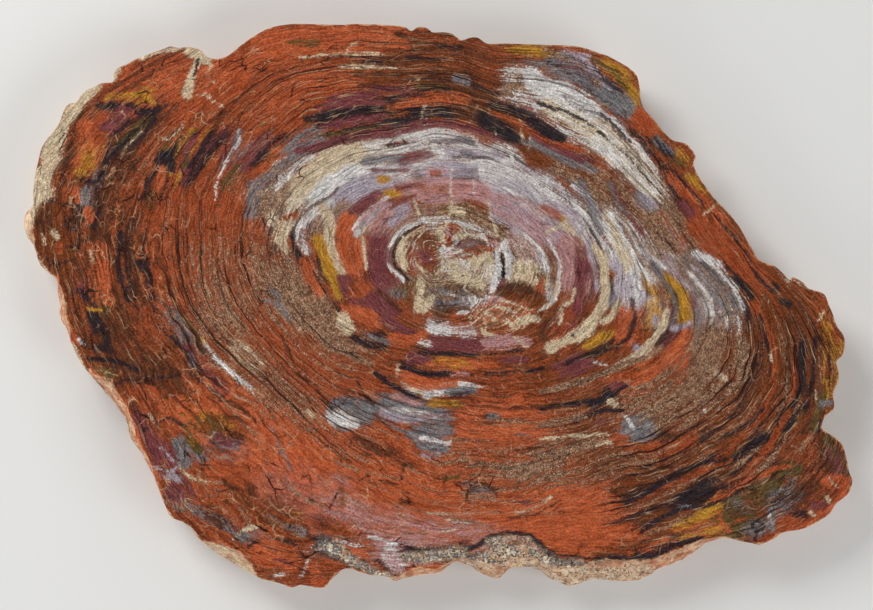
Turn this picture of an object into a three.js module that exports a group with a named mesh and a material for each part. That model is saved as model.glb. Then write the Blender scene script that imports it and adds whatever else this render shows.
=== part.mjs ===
// Petrified wood slab: one slice of an agatized log, with the sandstone and conglomerate rind
// that is cemented to it. It lies flat with its polished face up.
// Millimetres, +Z up, +X right and +Y away as the slab is seen from above.
// The origin is the middle of its footprint, on the surface it lies on.

import * as THREE from "three";

// Driving dimensions
const THICKNESS = 50;
const DRAWING_MIDDLE = { right: 436.5, down: 306.25 }; // the slab's middle on the outline drawing
const POINTS_PER_SPAN = 2; // vertices of the solid for each point of the drawing
const LEAN_WINDOW = 7; // vertices each way over which the side wall's direction is averaged
const UNDERCUT_POWER = 1.3; // how late below the face an undercut wall draws in

// Side wall from the polished face down. reach is the share of the flare that the wall has there.
const WALL_LEVELS = [
  { depth: 0, reach: 0, rough: 0 },
  { depth: 2.5, reach: 0.1, rough: 0.3 },
  { depth: 9, reach: 0.55, rough: 0.8 },
  { depth: 18, reach: 0.95, rough: 1 },
  { depth: 27, reach: 1, rough: 1 },
  { depth: 37, reach: 0.93, rough: 1 },
  { depth: 45, reach: 0.82, rough: 0.9 },
  { depth: THICKNESS, reach: 0.7, rough: 0.7 },
];

// Relief of the side wall: ridges that run along the grain of the log, and lumps
const RIDGE = { depth: 5.5, width: 13, length: 80 };
const LUMP = { depth: 4.5, width: 21, length: 16 };
const FLARED_CALM = 0.45; // share of the relief that a fully flared wall loses
const FULL_FLARE = 10;

// Ledges, where a flake of the log's side has broken away below some depth
const LEDGE = { depth: 5, width: 48, start: 0.52, top: 15, fall: 9 };

// Outline, clockwise from the far left: [right, down, flare]. right and down are millimetres on a
// drawing at full size, to the widest line of the wall. flare is how far that line stands out past
// the rim of the polished face. Where it is negative, the wall draws in below the face.
const SANDSTONE_SHOULDER = [
  [20.5, 226, 10], [20, 218, 10], [22, 210, 9], [27, 203, 6], [31, 193, 2], [33, 180, 1],
  [36, 168, 0], [38.5, 158, 0], [41, 148, 0], [47, 138, 0], [53, 131, 0], [59, 122, 0],
  [62, 114, 0], [65, 107, 0], [69, 103, 0], [76, 101.5, 0], [81, 94, 0], [87, 89, 0],
  [94, 86, 0], [100, 82.5, 0], [113, 80.5, -1], [114, 72, -1], [118, 67, -1],
];
const TOP_LEFT_EDGE = [
  [127, 63, -2], [135, 58.5, -2], [155, 51, -2], [166, 47, -2], [170, 45.5, -2],
  [178, 47, -2], [187, 46, -2], [193, 47, -2], [200, 49, -2], [204, 53, -2], [207, 56, -2],
  [217, 58, -2], [228, 54.5, -2], [240, 45, -2], [255, 34.5, -2], [270, 27, -3],
  [290, 23.3, -3], [312, 23.2, -3], [340, 24, -3], [355, 23.2, -3], [370, 23.5, -3],
  [385, 24, -3], [405, 26.5, -3], [411, 30, -3], [418, 26, -3], [428, 28, -3], [431, 31, -3],
];
const TOP_RIGHT_EDGE = [
  [444, 31.5, -3], [452, 33, -3], [456, 36, -3], [461, 39.5, -3], [466, 38, -3],
  [472, 36.5, -3], [478, 37, -3], [486, 42.5, -3], [500, 42.5, -3], [524, 43.3, -3],
  [548, 44, -4], [572, 45, -4], [584, 47, -4], [598, 52, -4], [606, 54.5, -4], [614, 58.5, -4],
  [630, 68, -4], [636, 74, -4], [639.5, 88, -4], [640.5, 100, -4], [645, 110, -4],
];
const UPPER_RIGHT_EDGE = [
  [650, 114.5, -4], [660, 127, -4], [666, 134, -4], [671, 138.5, -4], [678, 141, -4],
  [685, 142.5, -4], [690, 147, -4], [695.5, 156.5, -4], [693, 161.5, -4], [695, 169, -4],
  [698, 175, -4], [706, 187, -4], [715, 198.5, -4], [727, 211, -4], [739, 226, -4],
  [747, 240, -4], [754.5, 253, -4], [758, 258.5, -4], [768, 263, -4], [774, 265, -4],
  [780, 270, -4], [785, 275, -4], [789, 279, -4], [792, 276.5, -4], [798, 278.5, -4],
];
const RIGHT_NOSE = [
  [804, 283, -3], [808, 287.5, -3], [818, 290.5, -3], [824, 293.5, -3], [828.5, 304, -2],
  [832, 312, -2], [834.5, 320, -2], [838, 327, -1], [844, 336, 0], [845.5, 341, 1],
  [843, 354, 1], [837, 361, 1], [838.5, 367, 1], [839.5, 374, 1], [836.5, 387, 1],
  [834, 391, 1], [835, 404, 1], [834, 409, 1], [825.5, 416, 1], [822.5, 427, 1],
  [827, 431, 1], [838, 438, 1], [843, 443.5, 1], [847.5, 459, 1], [850.5, 473, 1],
  [853, 479, 1], [850, 491, 1], [846, 496, 1], [836, 504, 1], [830.5, 513, 1],
];
const LOWER_RIGHT_EDGE = [
  [820, 520.5, 1], [808, 528, 2], [800, 531.5, 3], [784, 536.5, 5], [773, 543, 5],
  [763, 547.5, 5], [751, 546, 4], [740, 543, 3], [727, 540, 3], [712, 543.5, 6],
  [704, 547, 9], [692, 556, 12], [676, 564, 14], [661, 570.5, 14], [650, 579, 20],
];
const CONGLOMERATE_EDGE = [
  [639, 584.5, 25], [620, 585, 26], [603, 582.5, 24], [590, 584, 23], [576, 587.5, 22],
  [569, 588.5, 22], [556, 582.5, 18], [550, 581, 16], [541, 574.5, 13], [530, 570, 12],
  [517, 569, 12], [510, 570.5, 13], [500, 578.5, 15], [494, 578.5, 15], [480, 574, 12],
  [470, 568, 9], [458, 565.5, 7], [453, 566.5, 7], [444.5, 573, 8], [438, 577, 9],
  [420, 576, 9], [406, 578.5, 7],
];
const BOTTOM_EDGE = [
  [394, 582, 5], [389, 580.5, 4], [376, 578, 4], [362, 576, 4], [350, 571.5, 4], [341, 573, 4],
  [336, 577, 4], [332, 581, 3], [325, 589, 3], [318, 589.7, 3], [305, 587.5, 3], [300, 587, 3],
  [291, 589.7, 3], [281, 586, 3], [269, 583, 3], [256, 581, 5], [246, 573.5, 10],
  [240, 569, 12], [228, 560, 13], [211, 552.5, 10], [198, 543, 5], [189, 532, 5],
];
const LOWER_LEFT_EDGE = [
  [180, 525, 5], [169, 517, 2], [162, 503, 2], [158, 496, 3], [155, 490, 4], [149, 475, 5],
  [145, 466, 6], [140, 458, 7], [131, 446, 8], [126, 430, 9], [121, 419, 9], [115, 408, 11],
  [108, 399, 12], [101, 390, 13], [93, 382, 9], [86, 376, 5], [76, 360, 3], [70, 350, 4],
  [66, 341, 5], [63, 331, 7], [58, 321, 9], [56, 313, 10], [57, 308, 9], [54.5, 293, 8],
  [53, 285, 5], [52, 278.5, 4], [47, 275, 4], [41, 270.5, 4], [36, 265, 4], [31, 248, 4],
  [28, 241, 6], [23, 233, 9],
];

const OUTLINE = [
  ...SANDSTONE_SHOULDER,
  ...TOP_LEFT_EDGE,
  ...TOP_RIGHT_EDGE,
  ...UPPER_RIGHT_EDGE,
  ...RIGHT_NOSE,
  ...LOWER_RIGHT_EDGE,
  ...CONGLOMERATE_EDGE,
  ...BOTTOM_EDGE,
  ...LOWER_LEFT_EDGE,
];

// A repeatable number from 0 to 1 for one corner of the noise lattice
function cornerValue(i, j, k) {
  const mixed = Math.sin(i * 127.1 + j * 311.7 + k * 74.7) * 43758.5453;
  return mixed - Math.floor(mixed);
}

function smooth(t) {
  return t * t * (3 - 2 * t);
}

// Smooth noise from 0 to 1 at a point whose sides are already divided by the size of a lump
function noise(x, y, z) {
  const [i, j, k] = [Math.floor(x), Math.floor(y), Math.floor(z)];
  const [u, v, w] = [smooth(x - i), smooth(y - j), smooth(z - k)];
  let sum = 0;
  for (const di of [0, 1]) {
    for (const dj of [0, 1]) {
      for (const dk of [0, 1]) {
        const share = (di ? u : 1 - u) * (dj ? v : 1 - v) * (dk ? w : 1 - w);
        sum += share * cornerValue(i + di, j + dj, k + dk);
      }
    }
  }
  return sum;
}

// The drawn outline as vertices about the slab's middle, counterclockwise, each with its flare
function outlineVertices() {
  const drawn = OUTLINE.map(
    ([right, down, flare]) =>
      new THREE.Vector3(right - DRAWING_MIDDLE.right, DRAWING_MIDDLE.down - down, flare),
  ).reverse();
  const curve = new THREE.CatmullRomCurve3(drawn, true, "centripetal");
  return curve.getPoints(drawn.length * POINTS_PER_SPAN).slice(0, -1);
}

// The direction in which the side wall faces, averaged over a stretch of the outline
function outwardAt(vertices, i) {
  const count = vertices.length;
  const before = vertices[(i - LEAN_WINDOW + count) % count];
  const after = vertices[(i + LEAN_WINDOW) % count];
  return new THREE.Vector2(after.y - before.y, before.x - after.x).normalize();
}

// How far the relief cuts back the wall at a point of it. A wall that shows from above keeps its
// drawn line on average, and any other stays behind the rim.
function reliefAt(x, y, depth, flare) {
  const ridge = RIDGE.depth * noise(x / RIDGE.width, y / RIDGE.width, depth / RIDGE.length);
  const lump = LUMP.depth * noise(x / LUMP.width + 40, y / LUMP.width, depth / LUMP.length);
  const broken = noise(x / LEDGE.width, y / LEDGE.width + 20, 0) > LEDGE.start;
  const below = Math.min(Math.max((depth - LEDGE.top) / LEDGE.fall, 0), 1);
  const ledge = broken ? LEDGE.depth * below : 0;
  const flared = Math.min(Math.max(flare / FULL_FLARE, 0), 1);
  const mean = (RIDGE.depth + LUMP.depth) / 2;
  return (ridge + lump - mean * flared + ledge) * (1 - FLARED_CALM * flared);
}

// One ring of wall vertices at a level
function ringAt(vertices, level) {
  return vertices.map((vertex, i) => {
    const outward = outwardAt(vertices, i);
    const flare = vertex.z;
    const rimOffset = -Math.max(flare, 0);
    const undercut = flare * (level.depth / THICKNESS) ** UNDERCUT_POWER;
    const lean = flare > 0 ? flare * level.reach : undercut;
    const relief = level.rough * reliefAt(vertex.x, vertex.y, level.depth, flare);
    const offset = rimOffset + lean - relief;
    return new THREE.Vector3(
      vertex.x + outward.x * offset,
      vertex.y + outward.y * offset,
      THICKNESS - level.depth,
    );
  });
}

// Two triangles for each stretch of wall between two rings, and a flat cut at each end
function slabGeometry() {
  const vertices = outlineVertices();
  const rings = WALL_LEVELS.map((level) => ringAt(vertices, level));
  const count = vertices.length;
  const triangles = [];
  for (let r = 0; r + 1 < rings.length; r++) {
    for (let i = 0; i < count; i++) {
      const upper = r * count + i;
      const upperNext = r * count + ((i + 1) % count);
      triangles.push(upper, upper + count, upperNext);
      triangles.push(upperNext, upper + count, upperNext + count);
    }
  }
  const flat = (ring) => ring.map((point) => new THREE.Vector2(point.x, point.y));
  const bottomStart = (rings.length - 1) * count;
  for (const [a, b, c] of THREE.ShapeUtils.triangulateShape(flat(rings[0]), [])) {
    triangles.push(a, b, c);
  }
  for (const [a, b, c] of THREE.ShapeUtils.triangulateShape(flat(rings.at(-1)), [])) {
    triangles.push(bottomStart + c, bottomStart + b, bottomStart + a);
  }
  const geometry = new THREE.BufferGeometry();
  geometry.setFromPoints(rings.flat());
  geometry.setIndex(triangles);
  geometry.computeBoundingBox();
  const box = geometry.boundingBox;
  geometry.translate(-(box.min.x + box.max.x) / 2, -(box.min.y + box.max.y) / 2, 0);
  geometry.computeVertexNormals();
  return geometry;
}

function petrifiedWood() {
  return new THREE.MeshStandardMaterial({ color: 0xaa4b28, roughness: 0.3, metalness: 0 });
}

const slab = new THREE.Mesh(slabGeometry(), petrifiedWood());
slab.name = "slab";

const petrifiedWoodSlab = new THREE.Group();
petrifiedWoodSlab.add(slab);

export default petrifiedWoodSlab;
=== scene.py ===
"""Petrified wood slab: a polished slice of an agatized log, painted ring by ring.

Shapes are worked out in millimetres and made in metres. Places on the face are given in one of two
ways. A free place is [right, down] in millimetres on the outline drawing. A ring place is
(bearing, share): the bearing about the pith in degrees, counterclockwise from the right, and the
share of the reference radius at that bearing.
"""

import math

import bpy
import numpy as np
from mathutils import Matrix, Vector
from mathutils.geometry import delaunay_2d_cdt
from mathutils.kdtree import KDTree


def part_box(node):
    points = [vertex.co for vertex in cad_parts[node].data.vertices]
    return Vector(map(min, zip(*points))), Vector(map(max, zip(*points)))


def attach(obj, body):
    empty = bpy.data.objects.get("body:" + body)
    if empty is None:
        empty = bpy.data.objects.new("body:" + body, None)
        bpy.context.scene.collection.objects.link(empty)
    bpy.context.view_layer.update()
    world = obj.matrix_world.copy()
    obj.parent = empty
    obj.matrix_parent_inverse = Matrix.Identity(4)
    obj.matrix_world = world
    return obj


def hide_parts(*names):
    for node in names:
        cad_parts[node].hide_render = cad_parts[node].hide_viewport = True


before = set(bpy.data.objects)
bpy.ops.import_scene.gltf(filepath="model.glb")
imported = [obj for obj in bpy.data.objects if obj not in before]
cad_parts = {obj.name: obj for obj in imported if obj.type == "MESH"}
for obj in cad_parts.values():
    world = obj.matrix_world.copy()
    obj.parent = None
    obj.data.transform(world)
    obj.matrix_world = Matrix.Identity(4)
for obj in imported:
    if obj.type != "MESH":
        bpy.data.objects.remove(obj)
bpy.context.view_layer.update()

MILLIMETRE = 0.001
DRAWING_MIDDLE = (436.5, 306.25)  # the slab's middle on the outline drawing, right and down
low_corner, high_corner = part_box("slab")
THICKNESS = (high_corner.z - low_corner.z) / MILLIMETRE

# Mesh
RIM_STEP = 2.5
FACE_STEP = 2.45
UNDERSIDE_STEP = 7.0
RIM_CLEARANCE = 0.6  # share of a step that the face's own vertices keep from the rim
GRID_JITTER = 0.22  # share of a step by which they are moved off their grid at most
MERGING_DISTANCE = 1e-5
SHARP_ANGLE = 38  # degrees between two faces from which their edge looks sharp
FACE_KIND, WALL_KIND, CUT_KIND = 0, 1, 2
WALL_ROWS = (0, 0.7, 1.5, 2.5, 4.5, 6.8, 9, 12, 15, 18, 22, 27, 32, 37, 41, 45, 48, THICKNESS)

# Side wall from the polished face down: depth, share of the flare, share of the relief
WALL_PROFILE = (
    (0, 0, 0), (2.5, 0.1, 0.3), (9, 0.55, 0.8), (18, 0.95, 1), (27, 1, 1), (37, 0.93, 1),
    (45, 0.82, 0.9), (50, 0.7, 0.7),
)
LEAN_STRETCH = 43.0  # how far each way along the outline the wall's direction is averaged
UNDERCUT_POWER = 1.3  # how late below the face an undercut wall draws in
RIDGE = {"depth": 5.5, "width": 13, "length": 80, "offset": 0}
LUMP = {"depth": 4.5, "width": 21, "length": 16, "offset": 40}
CRUMB = {"depth": 1.6, "width": 4.5, "length": 5, "offset": 90}
LEDGE = {"depth": 5, "width": 48, "start": 0.52, "top": 15, "fall": 9, "offset": 20}
FLARED_CALM = 0.45  # share of the relief that a fully flared wall loses
FULL_FLARE = 10

# Outline, clockwise from the far left: [right, down, flare]. flare is how far the wall's widest
# line stands out past the rim of the polished face. Where it is negative, the wall draws in.
SANDSTONE_SHOULDER = [
    [20.5, 226, 10], [20, 218, 10], [22, 210, 9], [27, 203, 6], [31, 193, 2], [33, 180, 1],
    [36, 168, 0], [38.5, 158, 0], [41, 148, 0], [47, 138, 0], [53, 131, 0], [59, 122, 0],
    [62, 114, 0], [65, 107, 0], [69, 103, 0], [76, 101.5, 0], [81, 94, 0], [87, 89, 0],
    [94, 86, 0], [100, 82.5, 0], [113, 80.5, -1], [114, 72, -1], [118, 67, -1],
]
TOP_LEFT_EDGE = [
    [127, 63, -2], [135, 58.5, -2], [155, 51, -2], [166, 47, -2], [170, 45.5, -2],
    [178, 47, -2], [187, 46, -2], [193, 47, -2], [200, 49, -2], [204, 53, -2], [207, 56, -2],
    [217, 58, -2], [228, 54.5, -2], [240, 45, -2], [255, 34.5, -2], [270, 27, -3],
    [290, 23.3, -3], [312, 23.2, -3], [340, 24, -3], [355, 23.2, -3], [370, 23.5, -3],
    [385, 24, -3], [405, 26.5, -3], [411, 30, -3], [418, 26, -3], [428, 28, -3], [431, 31, -3],
]
TOP_RIGHT_EDGE = [
    [444, 31.5, -3], [452, 33, -3], [456, 36, -3], [461, 39.5, -3], [466, 38, -3],
    [472, 36.5, -3], [478, 37, -3], [486, 42.5, -3], [500, 42.5, -3], [524, 43.3, -3],
    [548, 44, -4], [572, 45, -4], [584, 47, -4], [598, 52, -4], [606, 54.5, -4], [614, 58.5, -4],
    [630, 68, -4], [636, 74, -4], [639.5, 88, -4], [640.5, 100, -4], [645, 110, -4],
]
UPPER_RIGHT_EDGE = [
    [650, 114.5, -4], [660, 127, -4], [666, 134, -4], [671, 138.5, -4], [678, 141, -4],
    [685, 142.5, -4], [690, 147, -4], [695.5, 156.5, -4], [693, 161.5, -4], [695, 169, -4],
    [698, 175, -4], [706, 187, -4], [715, 198.5, -4], [727, 211, -4], [739, 226, -4],
    [747, 240, -4], [754.5, 253, -4], [758, 258.5, -4], [768, 263, -4], [774, 265, -4],
    [780, 270, -4], [785, 275, -4], [789, 279, -4], [792, 276.5, -4], [798, 278.5, -4],
]
RIGHT_NOSE = [
    [804, 283, -3], [808, 287.5, -3], [818, 290.5, -3], [824, 293.5, -3], [828.5, 304, -2],
    [832, 312, -2], [834.5, 320, -2], [838, 327, -1], [844, 336, 0], [845.5, 341, 1],
    [843, 354, 1], [837, 361, 1], [838.5, 367, 1], [839.5, 374, 1], [836.5, 387, 1],
    [834, 391, 1], [835, 404, 1], [834, 409, 1], [825.5, 416, 1], [822.5, 427, 1],
    [827, 431, 1], [838, 438, 1], [843, 443.5, 1], [847.5, 459, 1], [850.5, 473, 1],
    [853, 479, 1], [850, 491, 1], [846, 496, 1], [836, 504, 1], [830.5, 513, 1],
]
LOWER_RIGHT_EDGE = [
    [820, 520.5, 1], [808, 528, 2], [800, 531.5, 3], [784, 536.5, 5], [773, 543, 5],
    [763, 547.5, 5], [751, 546, 4], [740, 543, 3], [727, 540, 3], [712, 543.5, 6],
    [704, 547, 9], [692, 556, 12], [676, 564, 14], [661, 570.5, 14], [650, 579, 20],
]
CONGLOMERATE_EDGE = [
    [639, 584.5, 25], [620, 585, 26], [603, 582.5, 24], [590, 584, 23], [576, 587.5, 22],
    [569, 588.5, 22], [556, 582.5, 18], [550, 581, 16], [541, 574.5, 13], [530, 570, 12],
    [517, 569, 12], [510, 570.5, 13], [500, 578.5, 15], [494, 578.5, 15], [480, 574, 12],
    [470, 568, 9], [458, 565.5, 7], [453, 566.5, 7], [444.5, 573, 8], [438, 577, 9],
    [420, 576, 9], [406, 578.5, 7],
]
BOTTOM_EDGE = [
    [394, 582, 5], [389, 580.5, 4], [376, 578, 4], [362, 576, 4], [350, 571.5, 4], [341, 573, 4],
    [336, 577, 4], [332, 581, 3], [325, 589, 3], [318, 589.7, 3], [305, 587.5, 3], [300, 587, 3],
    [291, 589.7, 3], [281, 586, 3], [269, 583, 3], [256, 581, 5], [246, 573.5, 10],
    [240, 569, 12], [228, 560, 13], [211, 552.5, 10], [198, 543, 5], [189, 532, 5],
]
LOWER_LEFT_EDGE = [
    [180, 525, 5], [169, 517, 2], [162, 503, 2], [158, 496, 3], [155, 490, 4], [149, 475, 5],
    [145, 466, 6], [140, 458, 7], [131, 446, 8], [126, 430, 9], [121, 419, 9], [115, 408, 11],
    [108, 399, 12], [101, 390, 13], [93, 382, 9], [86, 376, 5], [76, 360, 3], [70, 350, 4],
    [66, 341, 5], [63, 331, 7], [58, 321, 9], [56, 313, 10], [57, 308, 9], [54.5, 293, 8],
    [53, 285, 5], [52, 278.5, 4], [47, 275, 4], [41, 270.5, 4], [36, 265, 4], [31, 248, 4],
    [28, 241, 6], [23, 233, 9],
]
OUTLINE = (
    SANDSTONE_SHOULDER + TOP_LEFT_EDGE + TOP_RIGHT_EDGE + UPPER_RIGHT_EDGE + RIGHT_NOSE
    + LOWER_RIGHT_EDGE + CONGLOMERATE_EDGE + BOTTOM_EDGE + LOWER_LEFT_EDGE
)

# The pith on the drawing, and the reference radius: a circle with waves round it, each wave with
# its count, its size in millimetres and the bearing of its crest
PITH = (458, 257)
MEAN_RADIUS = 330
RADIUS_WAVES = ((1, 72, 244), (2, 58, 164), (3, 20, 77))

# Growth rings that the others run between: distance from the pith in millimetres of growth, and
# the ring places that it passes through
GUIDE_RINGS = (
    (0, ((0, 0), (180, 0))),
    (48, (
        (0, 0.14), (10, 0.145), (20, 0.17), (28, 0.15), (60, 0.15), (100, 0.145), (120, 0.14),
        (134, 0.155), (150, 0.16), (170, 0.16), (180, 0.165), (190, 0.155), (200, 0.14),
        (208, 0.155), (214, 0.17), (220, 0.19), (240, 0.20), (260, 0.21), (270, 0.20),
        (280, 0.19), (290, 0.15), (304, 0.13), (320, 0.12), (340, 0.11), (350, 0.12),
    )),
    (86, (
        (0, 0.28), (20, 0.26), (40, 0.29), (60, 0.275), (80, 0.275), (100, 0.26), (120, 0.25),
        (140, 0.24), (160, 0.24), (170, 0.235), (180, 0.215), (210, 0.215), (220, 0.225),
        (240, 0.235), (260, 0.24), (280, 0.235), (300, 0.245), (320, 0.25), (340, 0.27),
        (350, 0.28),
    )),
    (127, (
        (0, 0.43), (10, 0.445), (20, 0.465), (40, 0.465), (60, 0.465), (70, 0.465), (80, 0.45),
        (90, 0.42), (100, 0.405), (120, 0.385), (140, 0.37), (150, 0.385), (160, 0.395),
        (170, 0.395), (176, 0.38), (182, 0.36), (190, 0.33), (200, 0.31), (220, 0.305),
        (240, 0.31), (260, 0.305), (270, 0.30), (290, 0.295), (300, 0.295), (310, 0.31),
        (316, 0.325), (324, 0.345), (330, 0.355), (338, 0.38), (346, 0.40), (356, 0.42),
    )),
    (164, (
        (0, 0.55), (20, 0.565), (40, 0.565), (60, 0.54), (76, 0.555), (92, 0.56), (100, 0.55),
        (108, 0.53), (116, 0.51), (130, 0.51), (140, 0.52), (150, 0.51), (160, 0.50), (170, 0.49),
        (180, 0.47), (190, 0.445), (200, 0.43), (210, 0.42), (220, 0.425), (240, 0.435),
        (250, 0.435), (262, 0.42), (274, 0.41), (290, 0.41), (300, 0.42), (310, 0.44),
        (324, 0.475), (330, 0.50), (336, 0.535), (342, 0.57), (348, 0.59), (354, 0.57),
    )),
    (230, (
        (0, 0.745), (8, 0.745), (20, 0.755), (30, 0.775), (38, 0.80), (44, 0.815), (56, 0.81),
        (62, 0.785), (70, 0.755), (76, 0.745), (92, 0.755), (98, 0.745), (106, 0.735),
        (114, 0.735), (122, 0.745), (130, 0.76), (136, 0.745), (142, 0.725), (150, 0.69),
        (158, 0.665), (168, 0.65), (180, 0.625), (190, 0.595), (200, 0.57), (212, 0.555),
        (220, 0.565), (228, 0.59), (236, 0.62), (244, 0.66), (250, 0.69), (256, 0.71),
        (262, 0.72), (270, 0.715), (280, 0.69), (288, 0.665), (296, 0.64), (306, 0.64),
        (312, 0.66), (318, 0.69), (324, 0.735), (330, 0.78), (336, 0.82), (342, 0.845),
        (350, 0.82), (356, 0.785),
    )),
    (262, (
        (0, 0.80), (10, 0.80), (16, 0.82), (22, 0.845), (28, 0.88), (34, 0.915), (40, 0.95),
        (48, 0.96), (58, 0.94), (66, 0.90), (74, 0.87), (82, 0.86), (90, 0.85), (96, 0.84),
        (102, 0.825), (110, 0.81), (120, 0.82), (130, 0.83), (138, 0.81), (144, 0.79),
        (150, 0.765), (160, 0.76), (168, 0.735), (176, 0.71), (184, 0.685), (192, 0.655),
        (200, 0.635), (206, 0.625), (212, 0.615), (220, 0.625), (228, 0.645), (236, 0.69),
        (244, 0.74), (252, 0.78), (260, 0.80), (270, 0.80), (280, 0.77), (288, 0.745),
        (296, 0.73), (304, 0.75), (316, 0.775), (322, 0.81), (328, 0.85), (334, 0.885),
        (340, 0.91), (346, 0.91), (352, 0.88), (358, 0.83),
    )),
    (300, (
        (0, 0.88), (10, 0.87), (20, 0.90), (26, 0.94), (34, 0.97), (42, 1.06), (50, 1.08),
        (58, 1.06), (66, 1.01), (74, 0.97), (82, 0.94), (90, 0.93), (100, 0.92), (110, 0.91),
        (120, 0.93), (130, 0.93), (140, 0.90), (150, 0.90), (160, 0.93), (170, 0.93), (180, 0.88),
        (190, 0.85), (200, 0.82), (206, 0.82), (212, 0.86), (220, 0.92), (228, 0.97),
        (236, 1.0), (244, 0.98), (252, 0.95), (260, 0.92), (268, 0.90), (276, 0.88), (284, 0.83),
        (292, 0.85), (300, 0.87), (308, 0.88), (316, 0.93), (324, 1.0), (332, 1.03), (340, 1.02),
        (348, 1.0), (356, 0.92),
    )),
)
RING_SMOOTHING = 9  # degrees over which a guide ring's corners are rounded

# Colours of the agate, roughly from the darkest to the palest, each as the two ends of its own
# range, as they show on a screen
FULL_VALUE = 255
SCREEN_POWER = 2.2
COLOURS = {
    "black": ((20, 19, 24), (56, 49, 52)),
    "umber": ((54, 32, 24), (94, 58, 40)),
    "plum": ((82, 40, 42), (130, 72, 74)),
    "slate": ((64, 63, 66), (138, 134, 134)),
    "olive": ((58, 50, 28), (102, 86, 50)),
    "brown": ((78, 41, 22), (124, 67, 37)),
    "brick": ((104, 45, 22), (174, 84, 50)),
    "orange": ((144, 63, 34), (196, 101, 64)),
    "tan": ((94, 66, 50), (148, 112, 88)),
    "gold": ((128, 84, 30), (198, 145, 54)),
    "pink": ((140, 92, 92), (194, 150, 146)),
    "lavender": ((118, 106, 116), (184, 172, 180)),
    "cream": ((152, 126, 96), (222, 202, 168)),
    "white": ((152, 147, 145), (234, 229, 223)),
}

# Share of each colour where nothing is painted
BASE_SHARES = {
    "black": 0.06, "umber": 0.08, "brown": 0.18, "brick": 0.46, "orange": 0.10, "tan": 0.12,
}

# Textures that lie over the colours, each with its amount where nothing is painted
TEXTURES = {"lines": 0.5, "cracks": 0.5, "soft": 0.0, "pebbles": 0.0}

# Ring strokes, one a line: what is painted, how strongly, how broad as a share of the reference
# radius, and the ring places that it runs through. A later stroke covers an earlier one.
BROAD_BANDS = """
tan 0.4 0.3 176,0.5 230,0.5
tan 0.4 0.16 180,0.42 228,0.4
tan 0.35 0.3 190,0.62 244,0.6
brown 0.6 0.36 296,0.74 330,0.78 356,0.86
umber 0.3 0.3 300,0.8 352,0.88
tan 0.4 0.28 288,0.6 318,0.62 346,0.74
brown 0.4 0.26 296,0.44 330,0.48 344,0.5
orange 0.65 0.2 206,0.74 222,0.73 250,0.78 304,0.79
orange 0.35 0.3 226,0.64 262,0.64 300,0.62
tan 0.35 0.12 262,0.58 300,0.56
tan 0.4 0.1 268,0.66 300,0.62
brick 0.5 0.3 120,0.72 172,0.66
brown 0.5 0.34 62,0.76 120,0.72
umber 0.35 0.26 60,0.68 118,0.66
tan 0.7 0.24 -24,0.62 0,0.6 16,0.6 30,0.62
brown 0.6 0.16 30,0.6 68,0.6
tan 0.6 0.16 24,0.6 46,0.62
brown 0.4 0.24 -24,0.84 0,0.82 24,0.86 34,0.92
brown 0.3 0.22 166,0.9 182,0.86 206,0.8
umber 0.28 0.26 150,0.9 176,0.88 204,0.84
umber 0.22 0.26 60,0.9 100,0.88 132,0.88
tan 0.85 0.13 -40,0.2 0,0.2 60,0.2 120,0.19
olive 0.3 0.13 -30,0.2 0,0.2 60,0.2 120,0.19
pink 0.85 0.13 2,0.32 40,0.325 60,0.315 90,0.3 126,0.27
plum 0.8 0.12 -20,0.33 8,0.34
lavender 0.85 0.09 26,0.385 60,0.38 96,0.37 130,0.355 166,0.35
plum 0.6 0.12 126,0.21 168,0.22 206,0.2
brown 0.5 0.1 200,0.26 280,0.26 340,0.26
cracks 1 0.4 96,0.8 150,0.86 200,0.82 240,0.9 290,0.8
cracks 0.8 0.3 100,0.6 160,0.5 240,0.5
cracks 0.2 0.2 0,0.5 40,0.5 110,0.45
lines 1 0.36 298,0.76 352,0.84
lines 0.9 0.36 176,0.62 215,0.56 240,0.56
lines 1 0.4 60,0.72 140,0.7
lines 0.15 0.2 222,0.76 250,0.8 300,0.8
lines 0.3 0.16 122,0.9 150,0.9
lines 0.25 0.22 0,0.32 180,0.28 360,0.32
soft 0.9 0.2 -24,0.34 30,0.35 60,0.34 126,0.32
soft 0.6 0.2 126,0.28 170,0.26 206,0.22
soft 0.6 0.18 38,0.45 60,0.44 90,0.46 120,0.44 160,0.42
soft 0.5 0.16 222,0.76 250,0.8 300,0.8
soft 0.7 0.2 330,0.6 350,0.62 362,0.62
soft 0.5 0.12 232,0.48 256,0.5 268,0.5
"""
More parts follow.
